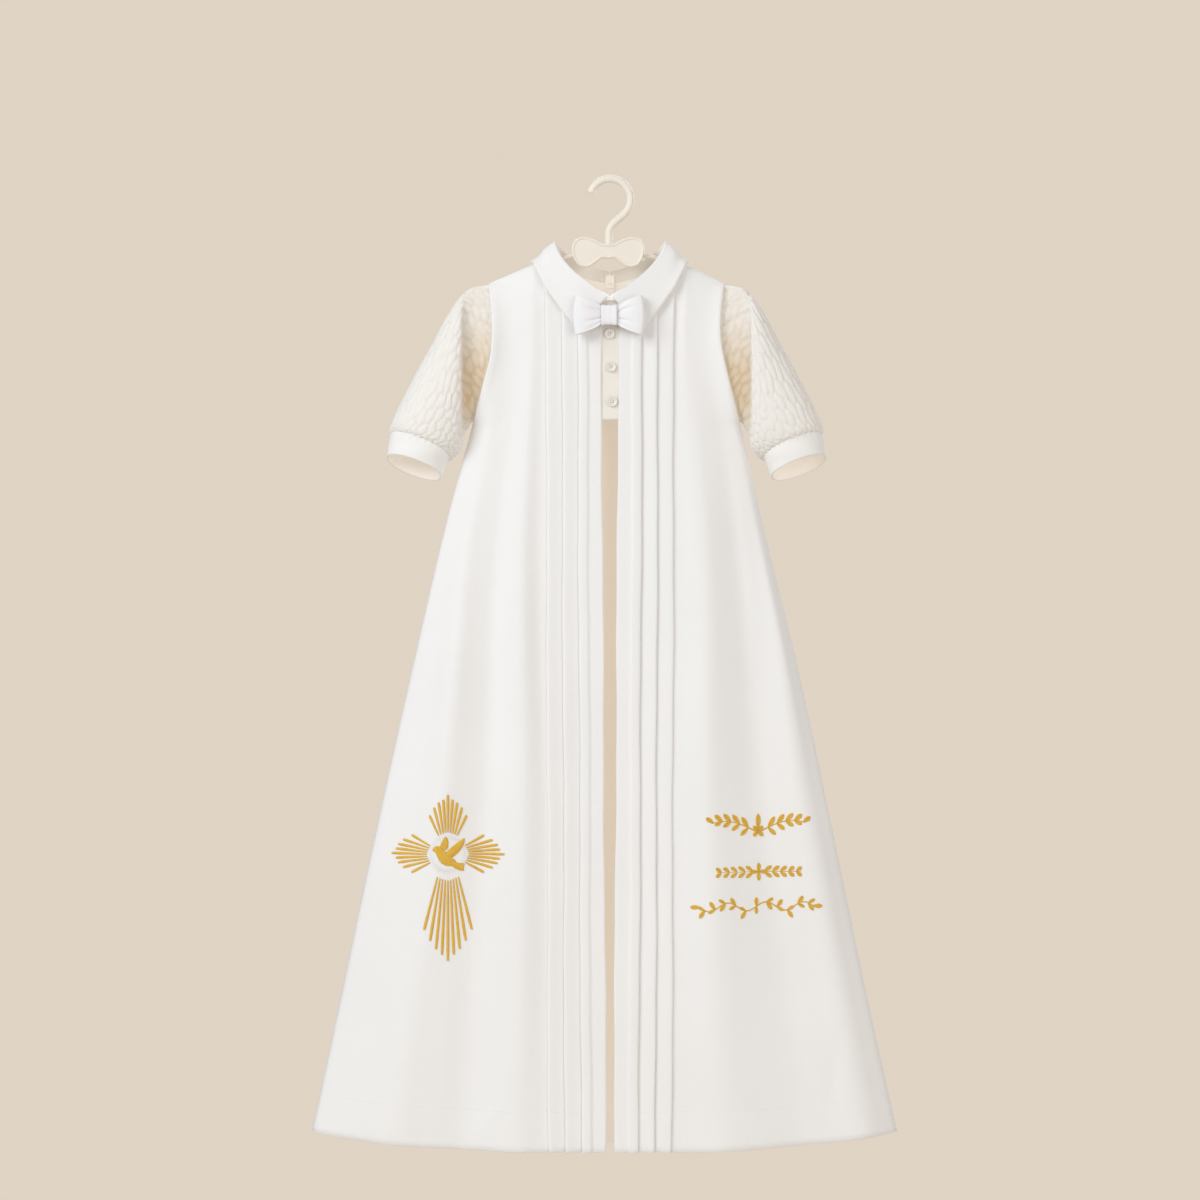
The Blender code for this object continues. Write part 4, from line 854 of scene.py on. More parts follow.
def front_route():
    """Columns of a front panel: place at the top and the hem, distance back, layer, share of the plain part, seen."""
    route = []

    def add(fold, past, layer, seen):
        back = pleat_slope(fold, past) + layer * PITCH
        route.append((TUCKS[fold][0] + past, TUCKS[fold][1] + past, back, layer, None, seen, fold))

    imprint = (TUCKS[0][0] - 0.0112, TUCKS[0][1] - 0.0112)
    for share in np.linspace(0.0, 1.0, 7)[:-1]:
        route.append((OPENING_EDGE[0] + (imprint[0] - OPENING_EDGE[0]) * share,
                      OPENING_EDGE[1] + (imprint[1] - OPENING_EDGE[1]) * share, PITCH, 1.0, None, True, -1))
    for share in np.linspace(0.0, 1.0, 8):
        add(0, -0.0112 + 0.0040 * share, 1.0 - float(smooth_step(share)), True)
    for past in (-0.0055, -0.0042, -0.0032):
        add(0, past, 0.0, True)
    for fold in range(len(TUCKS)):
        if fold:
            width = TUCKS[fold][0] - TUCKS[fold - 1][0] - 0.0006
            for past in np.linspace(-width, -0.0030, 12):
                add(fold, float(past), 0.0, True)
        for past in (-0.0024, -0.0018, -0.0013, -0.0009):
            add(fold, past, 0.0, True)
        for angle in np.radians(np.linspace(-90.0, 90.0, 7)):
            add(fold, PITCH / 2 * (math.cos(angle) - 1.0), 0.5 + 0.5 * math.sin(angle), False)
        for past in (-0.0025, -0.0045, -0.0065):
            add(fold, past, 1.0, False)
        for angle in np.radians(np.linspace(-90.0, 90.0, 5)):
            add(fold, -TUCK_UNDERLAP - PITCH / 2 * math.cos(angle), 1.5 + 0.5 * math.sin(angle), False)
        for past in (-0.0060, -0.0035, -0.0010):
            add(fold, past, 2.0, False)
    for share in [0.0, 0.004, 0.010, 0.018] + list(np.linspace(0.028, 1.0, 70)):
        route.append((0.0, 0.0, 0.0, 0.0, float(share), True, len(TUCKS)))
    return route


def front_sheet(side):
    """Middle surface of a front panel, its normals and which columns show."""
    sign = dict(SIDES)[side]
    tip = float(edge_distance(side, SHOULDER_TIP_Z))
    hem_edge = float(edge_distance(side, HEM_CENTRE_Z))
    start_top, start_hem = (end + 0.0006 for end in TUCKS[-1])
    route = front_route()
    plain = sum(1 for column in route if column[4] is not None)
    grid = []
    for out_top, out_hem, back, layer, share, _, fold in route:
        if share is None:
            drop = TUCK_TOP_DROP if layer < 2.0 or fold + 1 < len(TUCKS) else TUCK_END_DROP
            top = min(float(top_height("front", side, out_top)), NECK_POINT_Z - drop)
            step = 0.0007 * (1.0 if layer > 0.9 else back / PITCH - 1.0) if fold >= 0 else 0.0
            hem = float(hem_height(out_hem / hem_edge)) + step * (0.6 if side == "left" else 1.0)
            z = top + FINE_ROWS * (hem - top)
            out = out_top + FINE_ROWS * (out_hem - out_top)
            reference = TUCKS[fold][0] if fold >= 0 else 0.0
            shift = wavering(reference + (0.5 if side == "right" else 0.0), z)
            spread = 0.0005 * smooth_step((FINE_ROWS - 0.55) / 0.45) * max(0.0, 1.0 - layer)
            depth = body_depth("front", side, out, z) - back + spread + hem_relief(z, hem)
            out = out + shift
        else:
            out_top = start_top + (tip - start_top) * share
            top = float(top_height("front", side, out_top))
            hem = float(hem_height((start_hem + (hem_edge - start_hem) * share) / hem_edge))
            z = top + FINE_ROWS * (hem - top)
            start = start_top + FINE_ROWS * (start_hem - start_top)
            start = start + wavering(TUCKS[-1][0] + (0.5 if side == "right" else 0.0), z)
            out = start + (edge_distance(side, z) - start) * share
            depth = plain_depth(side, share, out, z) + hem_relief(z, hem)
            depth = np.maximum(depth, SEAM_GAP / 2)
        grid.append(np.stack([sign * out, -depth, z], axis=1))
    grid = np.array(grid)
    normal = square_normals(grid, len(route) - plain, -1.0, sign)
    shown = [column[5] for column in route]
    return grid, normal, shown


def plain_depth(side, share, out, z):
    """Depth of a front panel past its tucks, with its folds and creases."""
    sign = dict(SIDES)[side]
    back = 2.0 * PITCH * (1.0 - smooth_step(share / PLAIN_PART_RISE))
    return body_depth("front", side, out, z) - back + hanging_folds(side, share, sign * out, z)


def front_y(side, x, z):
    """Place of the plain part's front face at points of the embroidery."""
    out = np.abs(x)
    down = np.clip((NECK_POINT_Z - z) / (NECK_POINT_Z - HEM_CENTRE_Z), 0.0, 1.0)
    start = TUCKS[-1][0] + down * (TUCKS[-1][1] - TUCKS[-1][0])
    share = (out - start) / (edge_distance(side, z) - start)
    return -plain_depth(side, share, out, z) - THIN / 2


def square_normals(grid, first_shoulder_column, facing, sign):
    """Normals of a body panel, turned square to the seams along the shoulder and the side."""
    normal = surface_normals(grid)
    if normal[-20, len(FINE_ROWS) // 2, 1] * facing < 0.0:
        normal = -normal
    for row in range(FINE_UNDERARM, len(FINE_ROWS)):
        above = grid[-1, max(row - 1, FINE_UNDERARM)]
        below = grid[-1, min(row + 1, len(FINE_ROWS) - 1)]
        normal[-1, row] = square_to(below - above, sign)
    for column in range(first_shoulder_column, len(grid)):
        before = grid[max(column - 1, first_shoulder_column), 0]
        after = grid[min(column + 1, len(grid) - 1), 0]
        normal[column, 0] = square_to(after - before, sign)
        grid[column, 0, 1] = facing * SEAM_GAP / 2
    grid[-1, FINE_UNDERARM:, 1] = facing * SEAM_GAP / 2
    return normal


def back_half(side):
    """Middle surface of one half of the back."""
    sign = dict(SIDES)[side]
    tip = float(edge_distance(side, SHOULDER_TIP_Z))
    neck = NECK_HALF_WIDTH / tip
    shares = [neck * share for share in np.linspace(0.0, 1.0, 30)[:-1]]
    first = len(shares)
    shares += [neck + (1.0 - neck) * share for share in refined((0.0, 0.10, 0.90, 1.0), 0.034)]
    grid = []
    for share in shares:
        top = float(top_height("back", side, tip * share))
        hem = float(hem_height(share))
        z = top + FINE_ROWS * (hem - top)
        out = edge_distance(side, z) * share
        folds = hanging_folds("back", share, sign * out, z)
        depth = body_depth("back", side, out, z) + folds + hem_relief(z, hem)
        depth = np.maximum(depth, SEAM_GAP / 2)
        grid.append(np.stack([sign * out, depth, z], axis=1))
    grid = np.array(grid)
    return grid, square_normals(grid, first, 1.0, sign)


def back_sheet():
    """Middle surface and normals of the back."""
    left, left_normal = back_half("left")
    right, right_normal = back_half("right")
    middle = (left[0] + right[0]) / 2
    left[0] = right[0] = middle
    centre = (left_normal[0] + right_normal[0]) / 2
    centre[:, 0] = 0.0
    centre /= np.linalg.norm(centre, axis=1, keepdims=True)
    right_normal[0] = centre
    return np.concatenate([left[:0:-1], right]), np.concatenate([left_normal[:0:-1], right_normal])


# Stitches and threads

def resampled(path, step):
    """Points at even steps along a path."""
    path = np.asarray(path)
    run = np.concatenate([[0.0], np.cumsum(np.linalg.norm(np.diff(path, axis=0), axis=1))])
    count = max(2, int(run[-1] / step) + 1)
    at = np.linspace(0.0, run[-1], count)
    return np.stack([np.interp(at, run, path[:, axis]) for axis in range(path.shape[1])], 1)


def stitch_mesh(name, paths, finish, radius=0.00022, length=STITCH, gap=STITCH_GAP):
    """Rows of short stitches along paths of points with normals."""
    points, faces = [], []
    sides = 5
    for path, normal in paths:
        both = resampled(np.concatenate([path, normal], 1), 0.0004)
        run = np.concatenate([[0.0], np.cumsum(np.linalg.norm(np.diff(both[:, :3], axis=0), axis=1))])
        at = 0.3 * gap
        while at + length < run[-1]:
            places = [np.array([np.interp(at + length * part, run, both[:, axis]) for axis in range(6)])
                      for part in (0.0, 0.2, 0.5, 0.8, 1.0)]
            heading = places[-1][:3] - places[0][:3]
            heading /= np.linalg.norm(heading)
            start = len(points)
            for place, size, lift in zip(places, (0.45, 0.95, 1.0, 0.95, 0.45), (-0.4, 0.35, 0.55, 0.35, -0.4)):
                up = place[3:] / np.linalg.norm(place[3:])
                across = np.cross(heading, up)
                centre = place[:3] + up * radius * lift
                for side in range(sides):
                    turn = 2.0 * math.pi * side / sides
                    points.append(centre + (across * math.cos(turn) + up * math.sin(turn)) * radius * size)
            for ring in range(4):
                for side in range(sides):
                    following = (side + 1) % sides
                    low = start + ring * sides
                    faces.append((low + side, low + following, low + sides + following, low + sides + side))
            at += length + gap
    return new_piece(name, points, faces, finish)


def thread_mesh(name, side, segments, finish, width=THREAD * 1.15):
    """Embroidery threads laid side by side on a front panel: start x and z, end x and z, height."""
    data = np.array(segments)
    run = np.array((0.0, 0.18, 0.5, 0.82, 1.0))
    crown = np.array((0.0, 0.78, 1.0, 0.78, 0.0))
    across = np.array((-0.5, 0.0, 0.5))
    ridge = np.array((0.0, 1.0, 0.0)) * width * 0.30
    start, end, height = data[:, 0:2], data[:, 2:4], data[:, 4]
    heading = end - start
    heading = heading / np.linalg.norm(heading, axis=1, keepdims=True)
    square = np.stack([-heading[:, 1], heading[:, 0]], 1)
    place = start[:, None, None, :] + (end - start)[:, None, None, :] * run[None, :, None, None]
    place = place + square[:, None, None, :] * (across * width)[None, None, :, None]
    rise = height[:, None, None] * crown[None, :, None] + ridge[None, None, :] - 0.00008
    y = front_y(side, place[..., 0], place[..., 1]) - rise
    points = np.stack([place[..., 0], y, place[..., 1]], 3).reshape(-1, 3)
    base = np.arange(len(data))[:, None] * 15
    cell = np.array([(r * 3 + c, r * 3 + c + 1, (r + 1) * 3 + c + 1, (r + 1) * 3 + c) for r in range(4) for c in range(2)])
    faces = (base[:, :, None] + cell[None]).reshape(-1, 4)
    return new_piece(name, points, faces, finish)


def satin_stroke(path, widths, height):
    """Threads laid across a path of x and z points."""
    even = resampled(np.concatenate([np.asarray(path), np.asarray(widths)[:, None]], 1), THREAD)
    heading = np.gradient(even[:, :2], axis=0)
    heading /= np.maximum(np.linalg.norm(heading, axis=1, keepdims=True), 1e-12)
    square = np.stack([-heading[:, 1], heading[:, 0]], 1)
    slant = heading * 0.18
    half = even[:, 2:3] / 2
    jitter = 1.0 + 0.05 * np.sin(np.arange(len(even)) * 2.399)[:, None]
    start = even[:, :2] - (square + slant) * half * jitter
    end = even[:, :2] + (square + slant) * half / jitter
    return [(*a, *b, height * min(1.0, float(w[0]) / 0.0010)) for a, b, w in zip(start, end, half)]


def satin_leaf(x, z, angle, length, width, height=0.0006):
    """A leaf of slanted threads on both sides of its vein."""
    turn = math.radians(angle)
    heading = np.array((math.cos(turn), math.sin(turn)))
    square = np.array((-heading[1], heading[0]))
    root = np.array((x, z))
    segments = []
    for at in np.arange(0.0, length, THREAD):
        share = at / length
        half = width / 2 * math.sin(math.pi * min(1.0, share * 0.96 + 0.04)) ** 0.75
        if half < 0.0002:
            continue
        vein = root + heading * at
        lead = heading * half * 0.55
        for way in (-1.0, 1.0):
            segments.append((*vein, *(vein + lead + square * half * way), height))
    return segments


def satin_area(outline, angle, height, origin):
    """Threads across a closed outline of x and z points in millimetres about an origin."""
    shape = np.array(outline) * 0.001
    turn = math.radians(angle)
    heading = np.array((math.cos(turn), math.sin(turn)))
    square = np.array((-heading[1], heading[0]))
    along_line = shape @ heading
    aside = shape @ square
    segments = []
    for at in np.arange(aside.min() + THREAD / 2, aside.max(), THREAD):
        hits = []
        for place in range(len(shape)):
            following = (place + 1) % len(shape)
            a, b = aside[place], aside[following]
            if (a - at) * (b - at) < 0.0:
                hits.append(along_line[place] + (along_line[following] - along_line[place]) * (at - a) / (b - a))
        hits.sort()
        for low, high in zip(hits[::2], hits[1::2]):
            if high - low > 0.0004:
                start = np.array(origin) + heading * low + square * at
                end = np.array(origin) + heading * high + square * at
                segments.append((*start, *end, height * min(1.0, (high - low) / 0.004)))
    return segments


def rounded(outline, passes=2):
    """The outline with its corners cut and smoothed."""
    shape = [np.array(point, dtype=float) for point in outline]
    for _ in range(passes):
        cut = []
        for place, point in enumerate(shape):
            following = shape[(place + 1) % len(shape)]
            cut += [point * 0.78 + following * 0.22, point * 0.22 + following * 0.78]
        shape = cut
    return shape


def px(x, y):
    """Place on the gown of a place in the picture, in the plane of the front."""
    return (x - 610.0) / 1000.0, (178.8 - y) / 1000.0


# Arms of the ray cross: direction, distance of the inner and outer ends, fall of the outer ends, spacing
RAY_ARMS = (
    (90.0, 0.0225, 0.0590, 0.0165, 2.2, 0.0023, 0.0046),
    (180.0, 0.0215, 0.0570, 0.0165, 2.6, 0.0021, 0.0046),
    (0.0, 0.0210, 0.0560, 0.0165, 2.6, 0.0021, 0.0046),
    (270.0, 0.0265, 0.1060, 0.0270, 1.8, 0.0026, 0.0059),
)
DOVE = (
    (((-16.5, 4.0), (-13.5, 8.0), (-9.5, 8.6), (-6.0, 6.0), (-1.5, 1.5), (4.0, -3.5), (8.5, -8.0), (5.5, -12.0),
      (-1.0, -12.2), (-7.0, -9.0), (-10.5, -3.0), (-12.5, 2.0)), 128.0, 0.00085),
    (((4.5, -6.0), (10.0, -9.0), (17.0, -9.0), (15.0, -12.5), (16.0, -17.5), (8.5, -15.5), (2.0, -11.0)), 62.0, 0.0007),
    (((-9.0, 7.0), (-6.5, 12.0), (-2.5, 18.5), (0.5, 14.0), (0.5, 8.0), (-2.0, 3.5)), 20.0, 0.00075),
    (((-3.0, 1.5), (2.5, 6.5), (9.5, 12.0), (17.0, 17.0), (15.5, 8.5), (10.5, 1.5), (4.5, -3.5), (1.0, -3.0)), 138.0,
     0.0010),
)


def make_cross():
    """The gold ray cross with its dove, on the left front."""
    centre = np.array(px(448.0, 854.0))
    segments = []
    silver = []
    for angle, inner, outer, fall, power, inner_step, outer_step in RAY_ARMS:
        turn = math.radians(angle)
        heading = np.array((math.cos(turn), math.sin(turn)))
        square = np.array((-heading[1], heading[0]))
        for ray in range(-4, 5):
            drop = fall * (abs(ray) / 4.0) ** power + (0.0040 if ray else 0.0)
            start = centre + heading * (inner - 0.0012 * abs(ray) ** 1.3 / 2) + square * ray * inner_step
            end = centre + heading * (outer - drop) + square * ray * outer_step
            path = [start + (end - start) * share for share in np.linspace(0.0, 1.0, 9)]
            widths = [0.0014, 0.0018, 0.0021, 0.0023, 0.0025, 0.0027, 0.0029, 0.0030, 0.0023]
            segments += satin_stroke(path, widths, 0.00105)
    for step in range(84):
        turn = 2.0 * math.pi * step / 84
        way = np.array((math.cos(turn), math.sin(turn)))
        reach = 0.0150 + 0.0008 * math.sin(step * 2.4)
        tip = reach + 0.0045 + 0.0009 * math.sin(step * 1.7)
        silver.append((*(centre + way * reach), *(centre + way * tip), 0.00018))
    rays = thread_mesh("cross_rays", "left", segments, GOLD)
    ring = thread_mesh("cross_ring", "left", silver, SILVER, 0.00040)
    bird = []
    for outline, angle, height in DOVE:
        bird += satin_area(rounded(outline), angle, height + 0.0003, centre + np.array((0.0003, 0.0)))
    dove = thread_mesh("cross_dove", "left", bird, GOLD)
    return [rays, ring, dove]


def make_ornament():
    """Gold leaf sprays on the right front."""
    segments = []
    centre = np.array(px(758.5, 828.0))
    for way in (-1.0, 1.0):
        stem = []
        for share in np.linspace(0.0, 1.0, 15):
            stem.append(centre + np.array((way * (0.003 + 0.044 * share), 0.0105 * math.sin(2.2 * share) - 0.0035)))
        segments += satin_stroke(stem, np.linspace(0.0017, 0.0009, 15), 0.0005)
        for number, share in enumerate((0.16, 0.36, 0.56, 0.76, 0.96)):
            at = centre + np.array((way * (0.003 + 0.044 * share), 0.0105 * math.sin(2.2 * share) - 0.0035))
            lean = 58.0 - 6.0 * number
            up = lean if way > 0 else 180.0 - lean
            down = -lean + 14.0 if way > 0 else 180.0 + lean - 14.0
            segments += satin_leaf(at[0], at[1], up, 0.0125 - 0.0009 * number, 0.0050)
            if number < 4:
                segments += satin_leaf(at[0], at[1], down, 0.0108 - 0.0008 * number, 0.0046)
    for turn in (0.0, 90.0, 180.0, 270.0):
        segments += satin_leaf(centre[0], centre[1] - 0.0035, turn + 45.0, 0.0068, 0.0044, 0.0008)
    segments += satin_leaf(centre[0], centre[1] - 0.0010, 90.0, 0.0150, 0.0052, 0.0008)
    centre = np.array(px(759.0, 872.0))
    for number in range(-5, 6):
        x = centre[0] + number * 0.0080
        if number == 0:
            for turn in (0.0, 90.0, 180.0, 270.0):
                segments += satin_leaf(x, centre[1], turn, 0.0088, 0.0044, 0.0007)
            continue
        lean = 0.0 if number > 0 else 180.0
        size = 0.0092 - 0.0006 * abs(number)
        segments += satin_leaf(x - 0.002 * np.sign(number), centre[1] + 0.0008, lean + 34.0 * np.sign(number), size, 0.0042)
        segments += satin_leaf(x - 0.002 * np.sign(number), centre[1] - 0.0008, lean - 34.0 * np.sign(number), size, 0.0042)
    line = [np.array((centre[0] + x, centre[1])) for x in np.linspace(-0.0420, 0.0420, 30)]
    segments += satin_stroke(line, [0.0009] * 30, 0.00045)
    centre = np.array(px(756.5, 906.5))
    wave = []
    for share in np.linspace(-1.0, 1.0, 61):
        wave.append(centre + np.array((0.0575 * share, 0.0042 * math.sin(3.0 * math.pi * share))))
    segments += satin_stroke(wave, [0.0012 + 0.0004 * math.cos(1.2 * s) for s in np.linspace(-1.0, 1.0, 61)], 0.0005)
    for number in range(-5, 6):
        share = number / 5.5
        at = centre + np.array((0.0575 * share, 0.0042 * math.sin(3.0 * math.pi * share)))
        up = 1.0 if number % 2 == 0 else -1.0
        lean = 90.0 - 34.0 * np.sign(number) if number else 90.0
        segments += satin_leaf(at[0], at[1], lean if up > 0 else -lean, 0.0092, 0.0044)
        other = 90.0 - 62.0 * np.sign(number) if number else 90.0
        segments += satin_leaf(at[0], at[1], -other if up > 0 else other, 0.0076, 0.0036)
    for way in (-1.0, 1.0):
        segments += satin_leaf(centre[0] + way * 0.0570, centre[1], 0.0 if way > 0 else 180.0, 0.0095, 0.0046)
    return [thread_mesh("leaf_sprays", "right", segments, GOLD)]


# Sleeves, cuffs, collar

SMOCK_COLUMNS = 32
SMOCK_ROWS = 8.0


def fine_sleeve(around, rows):
    """Middle surface of the left sleeve on a fine grid."""
    sections = []
    for number in range(len(SLEEVE)):
        row = read_sections(SLEEVE, SLEEVE_COLUMNS, number / (len(SLEEVE) - 1))
        if number < len(SLEEVE_HEAD):
            sections.append(armhole_ring(row, around, SLEEVE_HEAD[number]))
        else:
            sections.append(sleeve_section(row, around))
    sections = np.array(sections)
    slope = np.gradient(sections, np.arange(len(sections), dtype=float), axis=0)
    rings = []
    for share in np.linspace(0.0, 1.0, rows):
        place = share * (len(sections) - 1)
        low = min(int(place), len(sections) - 2)
        part = place - low
        start = sections[low] * (1 + 2 * part) * (1 - part) ** 2 + slope[low] * part * (1 - part) ** 2
        end = sections[low + 1] * (3 - 2 * part) * part ** 2 - slope[low + 1] * part ** 2 * (1 - part)
        rings.append(start + end)
    return np.transpose(np.array(rings), (1, 0, 2))


def leaf_cells(place, along_rows):
    """Height from 0 to 1 of staggered pointed leaves."""
    column = np.floor(place)
    aside = place - column - 0.5
    cell = along_rows + 0.5 * (column % 2) + 0.13 * np.sin(2.3 * column)
    part = cell - np.floor(cell)
    half = 0.50 * np.sin(math.pi * np.clip(part, 0.03, 0.97)) ** 0.75
    lean = 0.26 * (part - 0.5) * np.where(column % 2 == 0, 1.0, -1.0)
    leaf = np.sqrt(np.clip(1.0 - ((aside - lean) / half) ** 2, 0.0, 1.0))
    return leaf * (1.0 - 0.22 * np.exp(-((aside - lean) / 0.09) ** 2) * np.sin(math.pi * part))


def smocking(around, rows):
    """Height of the smocked leaves with the gathers at the head and the cuff, and the leaves alone."""
    turn = (np.arange(around) / around)[:, None]
    run = np.linspace(0.0, 1.0, rows)[None, :]
    sway = 0.16 * np.sin(2.0 * math.pi * (run * SMOCK_ROWS * 0.5 + 0.4 * np.sin(2.0 * math.pi * turn)))
    sway = sway + 0.10 * np.sin(17.0 * run + 29.0 * turn)
    leaves = leaf_cells(turn * SMOCK_COLUMNS + sway, run * SMOCK_ROWS)
    uneven = 1.0 + 0.5 * np.sin(7.0 * 2.0 * math.pi * turn + 1.3) * np.sin(3.0 * 2.0 * math.pi * turn)
    gather = 0.0009 * (0.5 + 0.5 * np.cos(2.0 * math.pi * turn * 34.0 + 0.8 * np.sin(6.0 * math.pi * turn))) * uneven
    head = 1.0 - smooth_step((run - 0.03) / 0.06)
    end = smooth_step((run - 0.92) / 0.05)
    mix = np.maximum(head, end)
    total = 0.00080 * leaves * (1.0 - mix) + gather * mix
    fade = smooth_step(run / 0.05) * (1.0 - 0.6 * smooth_step((run - 0.985) / 0.015))
    return total * fade, leaves * (1.0 - mix) + mix


def make_sleeves():
    """The smocked sleeves and the plain cuffs."""
    around, rows = 228, 132
    base = fine_sleeve(around, rows)
    normal = outward_normals(base)
    normal[:, -1] = ring_normals(base[:, -1])
    run = np.linspace(0.0, 1.0, rows)[None, :]
    turn = (np.arange(around) / around * 2.0 * math.pi)[:, None]
    out = SLEEVE_AXIS_X - base[..., 0]
    recess = smooth_step((0.1475 - out) / 0.006) * smooth_step((run - 0.02) / 0.10) * np.abs(np.sin(turn)) ** 0.5
    # Painted shade: a warm tint in the recess beside the armhole, stronger lower down.
    shade = np.clip(recess * (0.20 + 0.80 * smooth_step((-0.125 - base[..., 2]) / 0.09)), 0.0, 1.0)
    lean = math.radians(24.0)
    level = base[..., 2] * math.cos(lean) + out * math.sin(lean)
    aside = out * math.cos(lean) - base[..., 2] * math.sin(lean)
    near = recess * smooth_step((run - 0.02) / 0.03)
    pattern = leaf_cells(aside / 0.0068 + 0.3 * np.sin(level * 170.0), level / 0.0165)
    tucks = -0.0016 * np.exp(-((base[..., 2] + 0.1235 - 0.42 * (out - 0.121)) / 0.0016) ** 2)
    tucks -= 0.0012 * np.exp(-((base[..., 2] + 0.1420 - 0.55 * (out - 0.121)) / 0.0016) ** 2)
    tucks -= 0.0010 * np.exp(-((base[..., 2] + 0.1610 - 0.50 * (out - 0.121)) / 0.0018) ** 2)
    front = smooth_step(-base[..., 1] / 0.004)
    relief, leaves = smocking(around, rows)
    relief = relief * (1.0 - near) + (0.0011 * pattern + tucks * front) * near
    # Painted shade in the hollows: darker leaf outlines and tuck grooves in the recess, a faint darkening of the
    # outlines all over, and less tint on the back.
    cell_outline_shade = 1.0 - (leaves * (1.0 - near) + pattern * near)
    shade = shade * (0.74 + 0.34 * cell_outline_shade * near) - 40.0 * tucks * front * near
    shade = np.clip(shade * (0.35 + 0.65 * front) + 0.07 * cell_outline_shade, 0.0, 1.0)
    relief = relief - 0.0030 * recess * (1.0 - smooth_step((run - 0.30) / 0.5))
    middle = base + normal * relief[..., None]
    pieces = []
    start = read_sections(SLEEVE, SLEEVE_COLUMNS, 1.0)
    end = dict(zip(SLEEVE_COLUMNS, CUFF_END))
    rings = []
    for share in [0.016, 0.04, 0.07] + list(np.linspace(0.11, 1.0, 14)):
        row = {name: start[name] + (end[name] - start[name]) * share for name in SLEEVE_COLUMNS}
        rings.append(sleeve_section(row, 120))
    cuff = np.transpose(np.array(rings), (1, 0, 2))
    cuff_normal = outward_normals(cuff)
    cuff_normal[:, 0] = ring_normals(cuff[:, 0])
    cuff_run = np.linspace(0.0, 1.0, cuff.shape[1])[None, :]
    cuff_turn = (np.arange(120) / 120 * 2.0 * math.pi)[:, None]
    pucker = 0.00035 * np.cos(27.0 * cuff_turn + np.sin(3.0 * cuff_turn)) * (1.0 - smooth_step(cuff_run / 0.45))
    soft = 0.0007 * np.sin(3.0 * cuff_turn + 4.0 * cuff_run) * np.sin(math.pi * cuff_run)
    band = cuff + cuff_normal * (pucker + soft)[..., None]
    for side, _ in SIDES:
        sleeve = cloth_wall("gown_sleeve_" + side, mirrored(middle, side), mirrored_way(normal, side), 0.0009, CREAM,
                            True, shade, inside=WHITE_INSIDE)
        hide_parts("sleeve_" + side)
        cuff_piece = cloth_wall("gown_cuff_" + side, mirrored(band, side), mirrored_way(cuff_normal, side), 0.0015, BAND,
                                True, inside=WHITE_INSIDE)
        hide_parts("cuff_" + side)
        declare_sheet(sleeve, middle, True)
        declare_sheet(cuff_piece, band, True)
        pieces += [sleeve, cuff_piece]
    return pieces


def mirrored_way(normal, side):
    """Directions on the left side, or their mirror image."""
    return normal if side == "left" else normal * np.array((-1.0, 1.0, 1.0))


def smoothed_line(points, count_between):
    """A smooth line through points, with a number of steps between each two."""
    points = np.asarray(points)
    padded = np.concatenate([2.0 * points[:1] - points[1:2], points, 2.0 * points[-1:] - points[-2:-1]])
    out = []
    for place in range(len(points) - 1):
        a, b, c, d = padded[place:place + 4]
        for share in np.linspace(0.0, 1.0, count_between + 1)[:-1]:
            out.append(0.5 * (2.0 * b + (c - a) * share + (2.0 * a - 5.0 * b + 4.0 * c - d) * share ** 2
                              + (3.0 * b - a - 3.0 * c + d) * share ** 3))
    return np.array(out + [points[-1]])


def collar_columns():
    """Middle surface of the right collar half at the steps of its solid, closed at the centre front."""
    grid = []
    for angle in np.linspace(0.0, 180.0, COLLAR_STEPS):
        seam, roll, fall = seam_point(angle), roll_point(angle), fall_point(angle)
        roll[2] += COLLAR_RISE * math.sin(math.radians(angle)) ** 3
        seam[2] -= 0.0014
        if angle <= 90.0:
            seam[0] = max(NECK_HALF_WIDTH * math.sin(math.radians(angle)), COLLAR_MEETING)
            roll[0] = max(ROLL_HALF_WIDTH * math.sin(math.radians(angle)), COLLAR_MEETING)
        out = fall - roll
        out[2] = 0.0
        out /= np.linalg.norm(out)
        up = np.array([0.0, 0.0, 1.0])
        inner_top = roll - up * ROLL_DROP
        outer_top = roll + out * ROLL_WIDTH - up * ROLL_DROP
        column = [seam, (seam + inner_top) / 2, inner_top, roll + out * ROLL_WIDTH / 2 + up * 0.0004, outer_top]
        for share in (0.33, 0.66):
            place = outer_top + (fall - outer_top) * share + out * COLLAR_ROUND_OUT + up * COLLAR_ROUND_UP
            column.append(kept_clear(place, angle, COLLAR_LIFT))
        grid.append(column + [fall])
    return np.array(grid)


def collar_sheet():
    """The collar half's middle surface on a fine grid."""
    coarse = collar_columns()
    angle = np.linspace(0.0, 180.0, COLLAR_STEPS)[1:-1]
    apex = (0.5 + 0.5 * np.exp(-((angle - 90.0) / 20.0) ** 2))[:, None, None]
    for strength in (1.0, 0.8, 0.6):
        eased = coarse.copy()
        near = (coarse[:-2, 2:7] + coarse[2:, 2:7]) / 2
        eased[1:-1, 2:7] += (near - coarse[1:-1, 2:7]) * 0.5 * apex * strength
        eased[1:-1, 3] += ((eased[1:-1, 2] + eased[1:-1, 4]) / 2 - eased[1:-1, 3]) * 0.25 * strength
        coarse = eased
    across = smoothed_line(coarse, 4)
    fine = np.transpose(smoothed_line(np.transpose(across, (1, 0, 2)), 4), (1, 0, 2))
    return fine


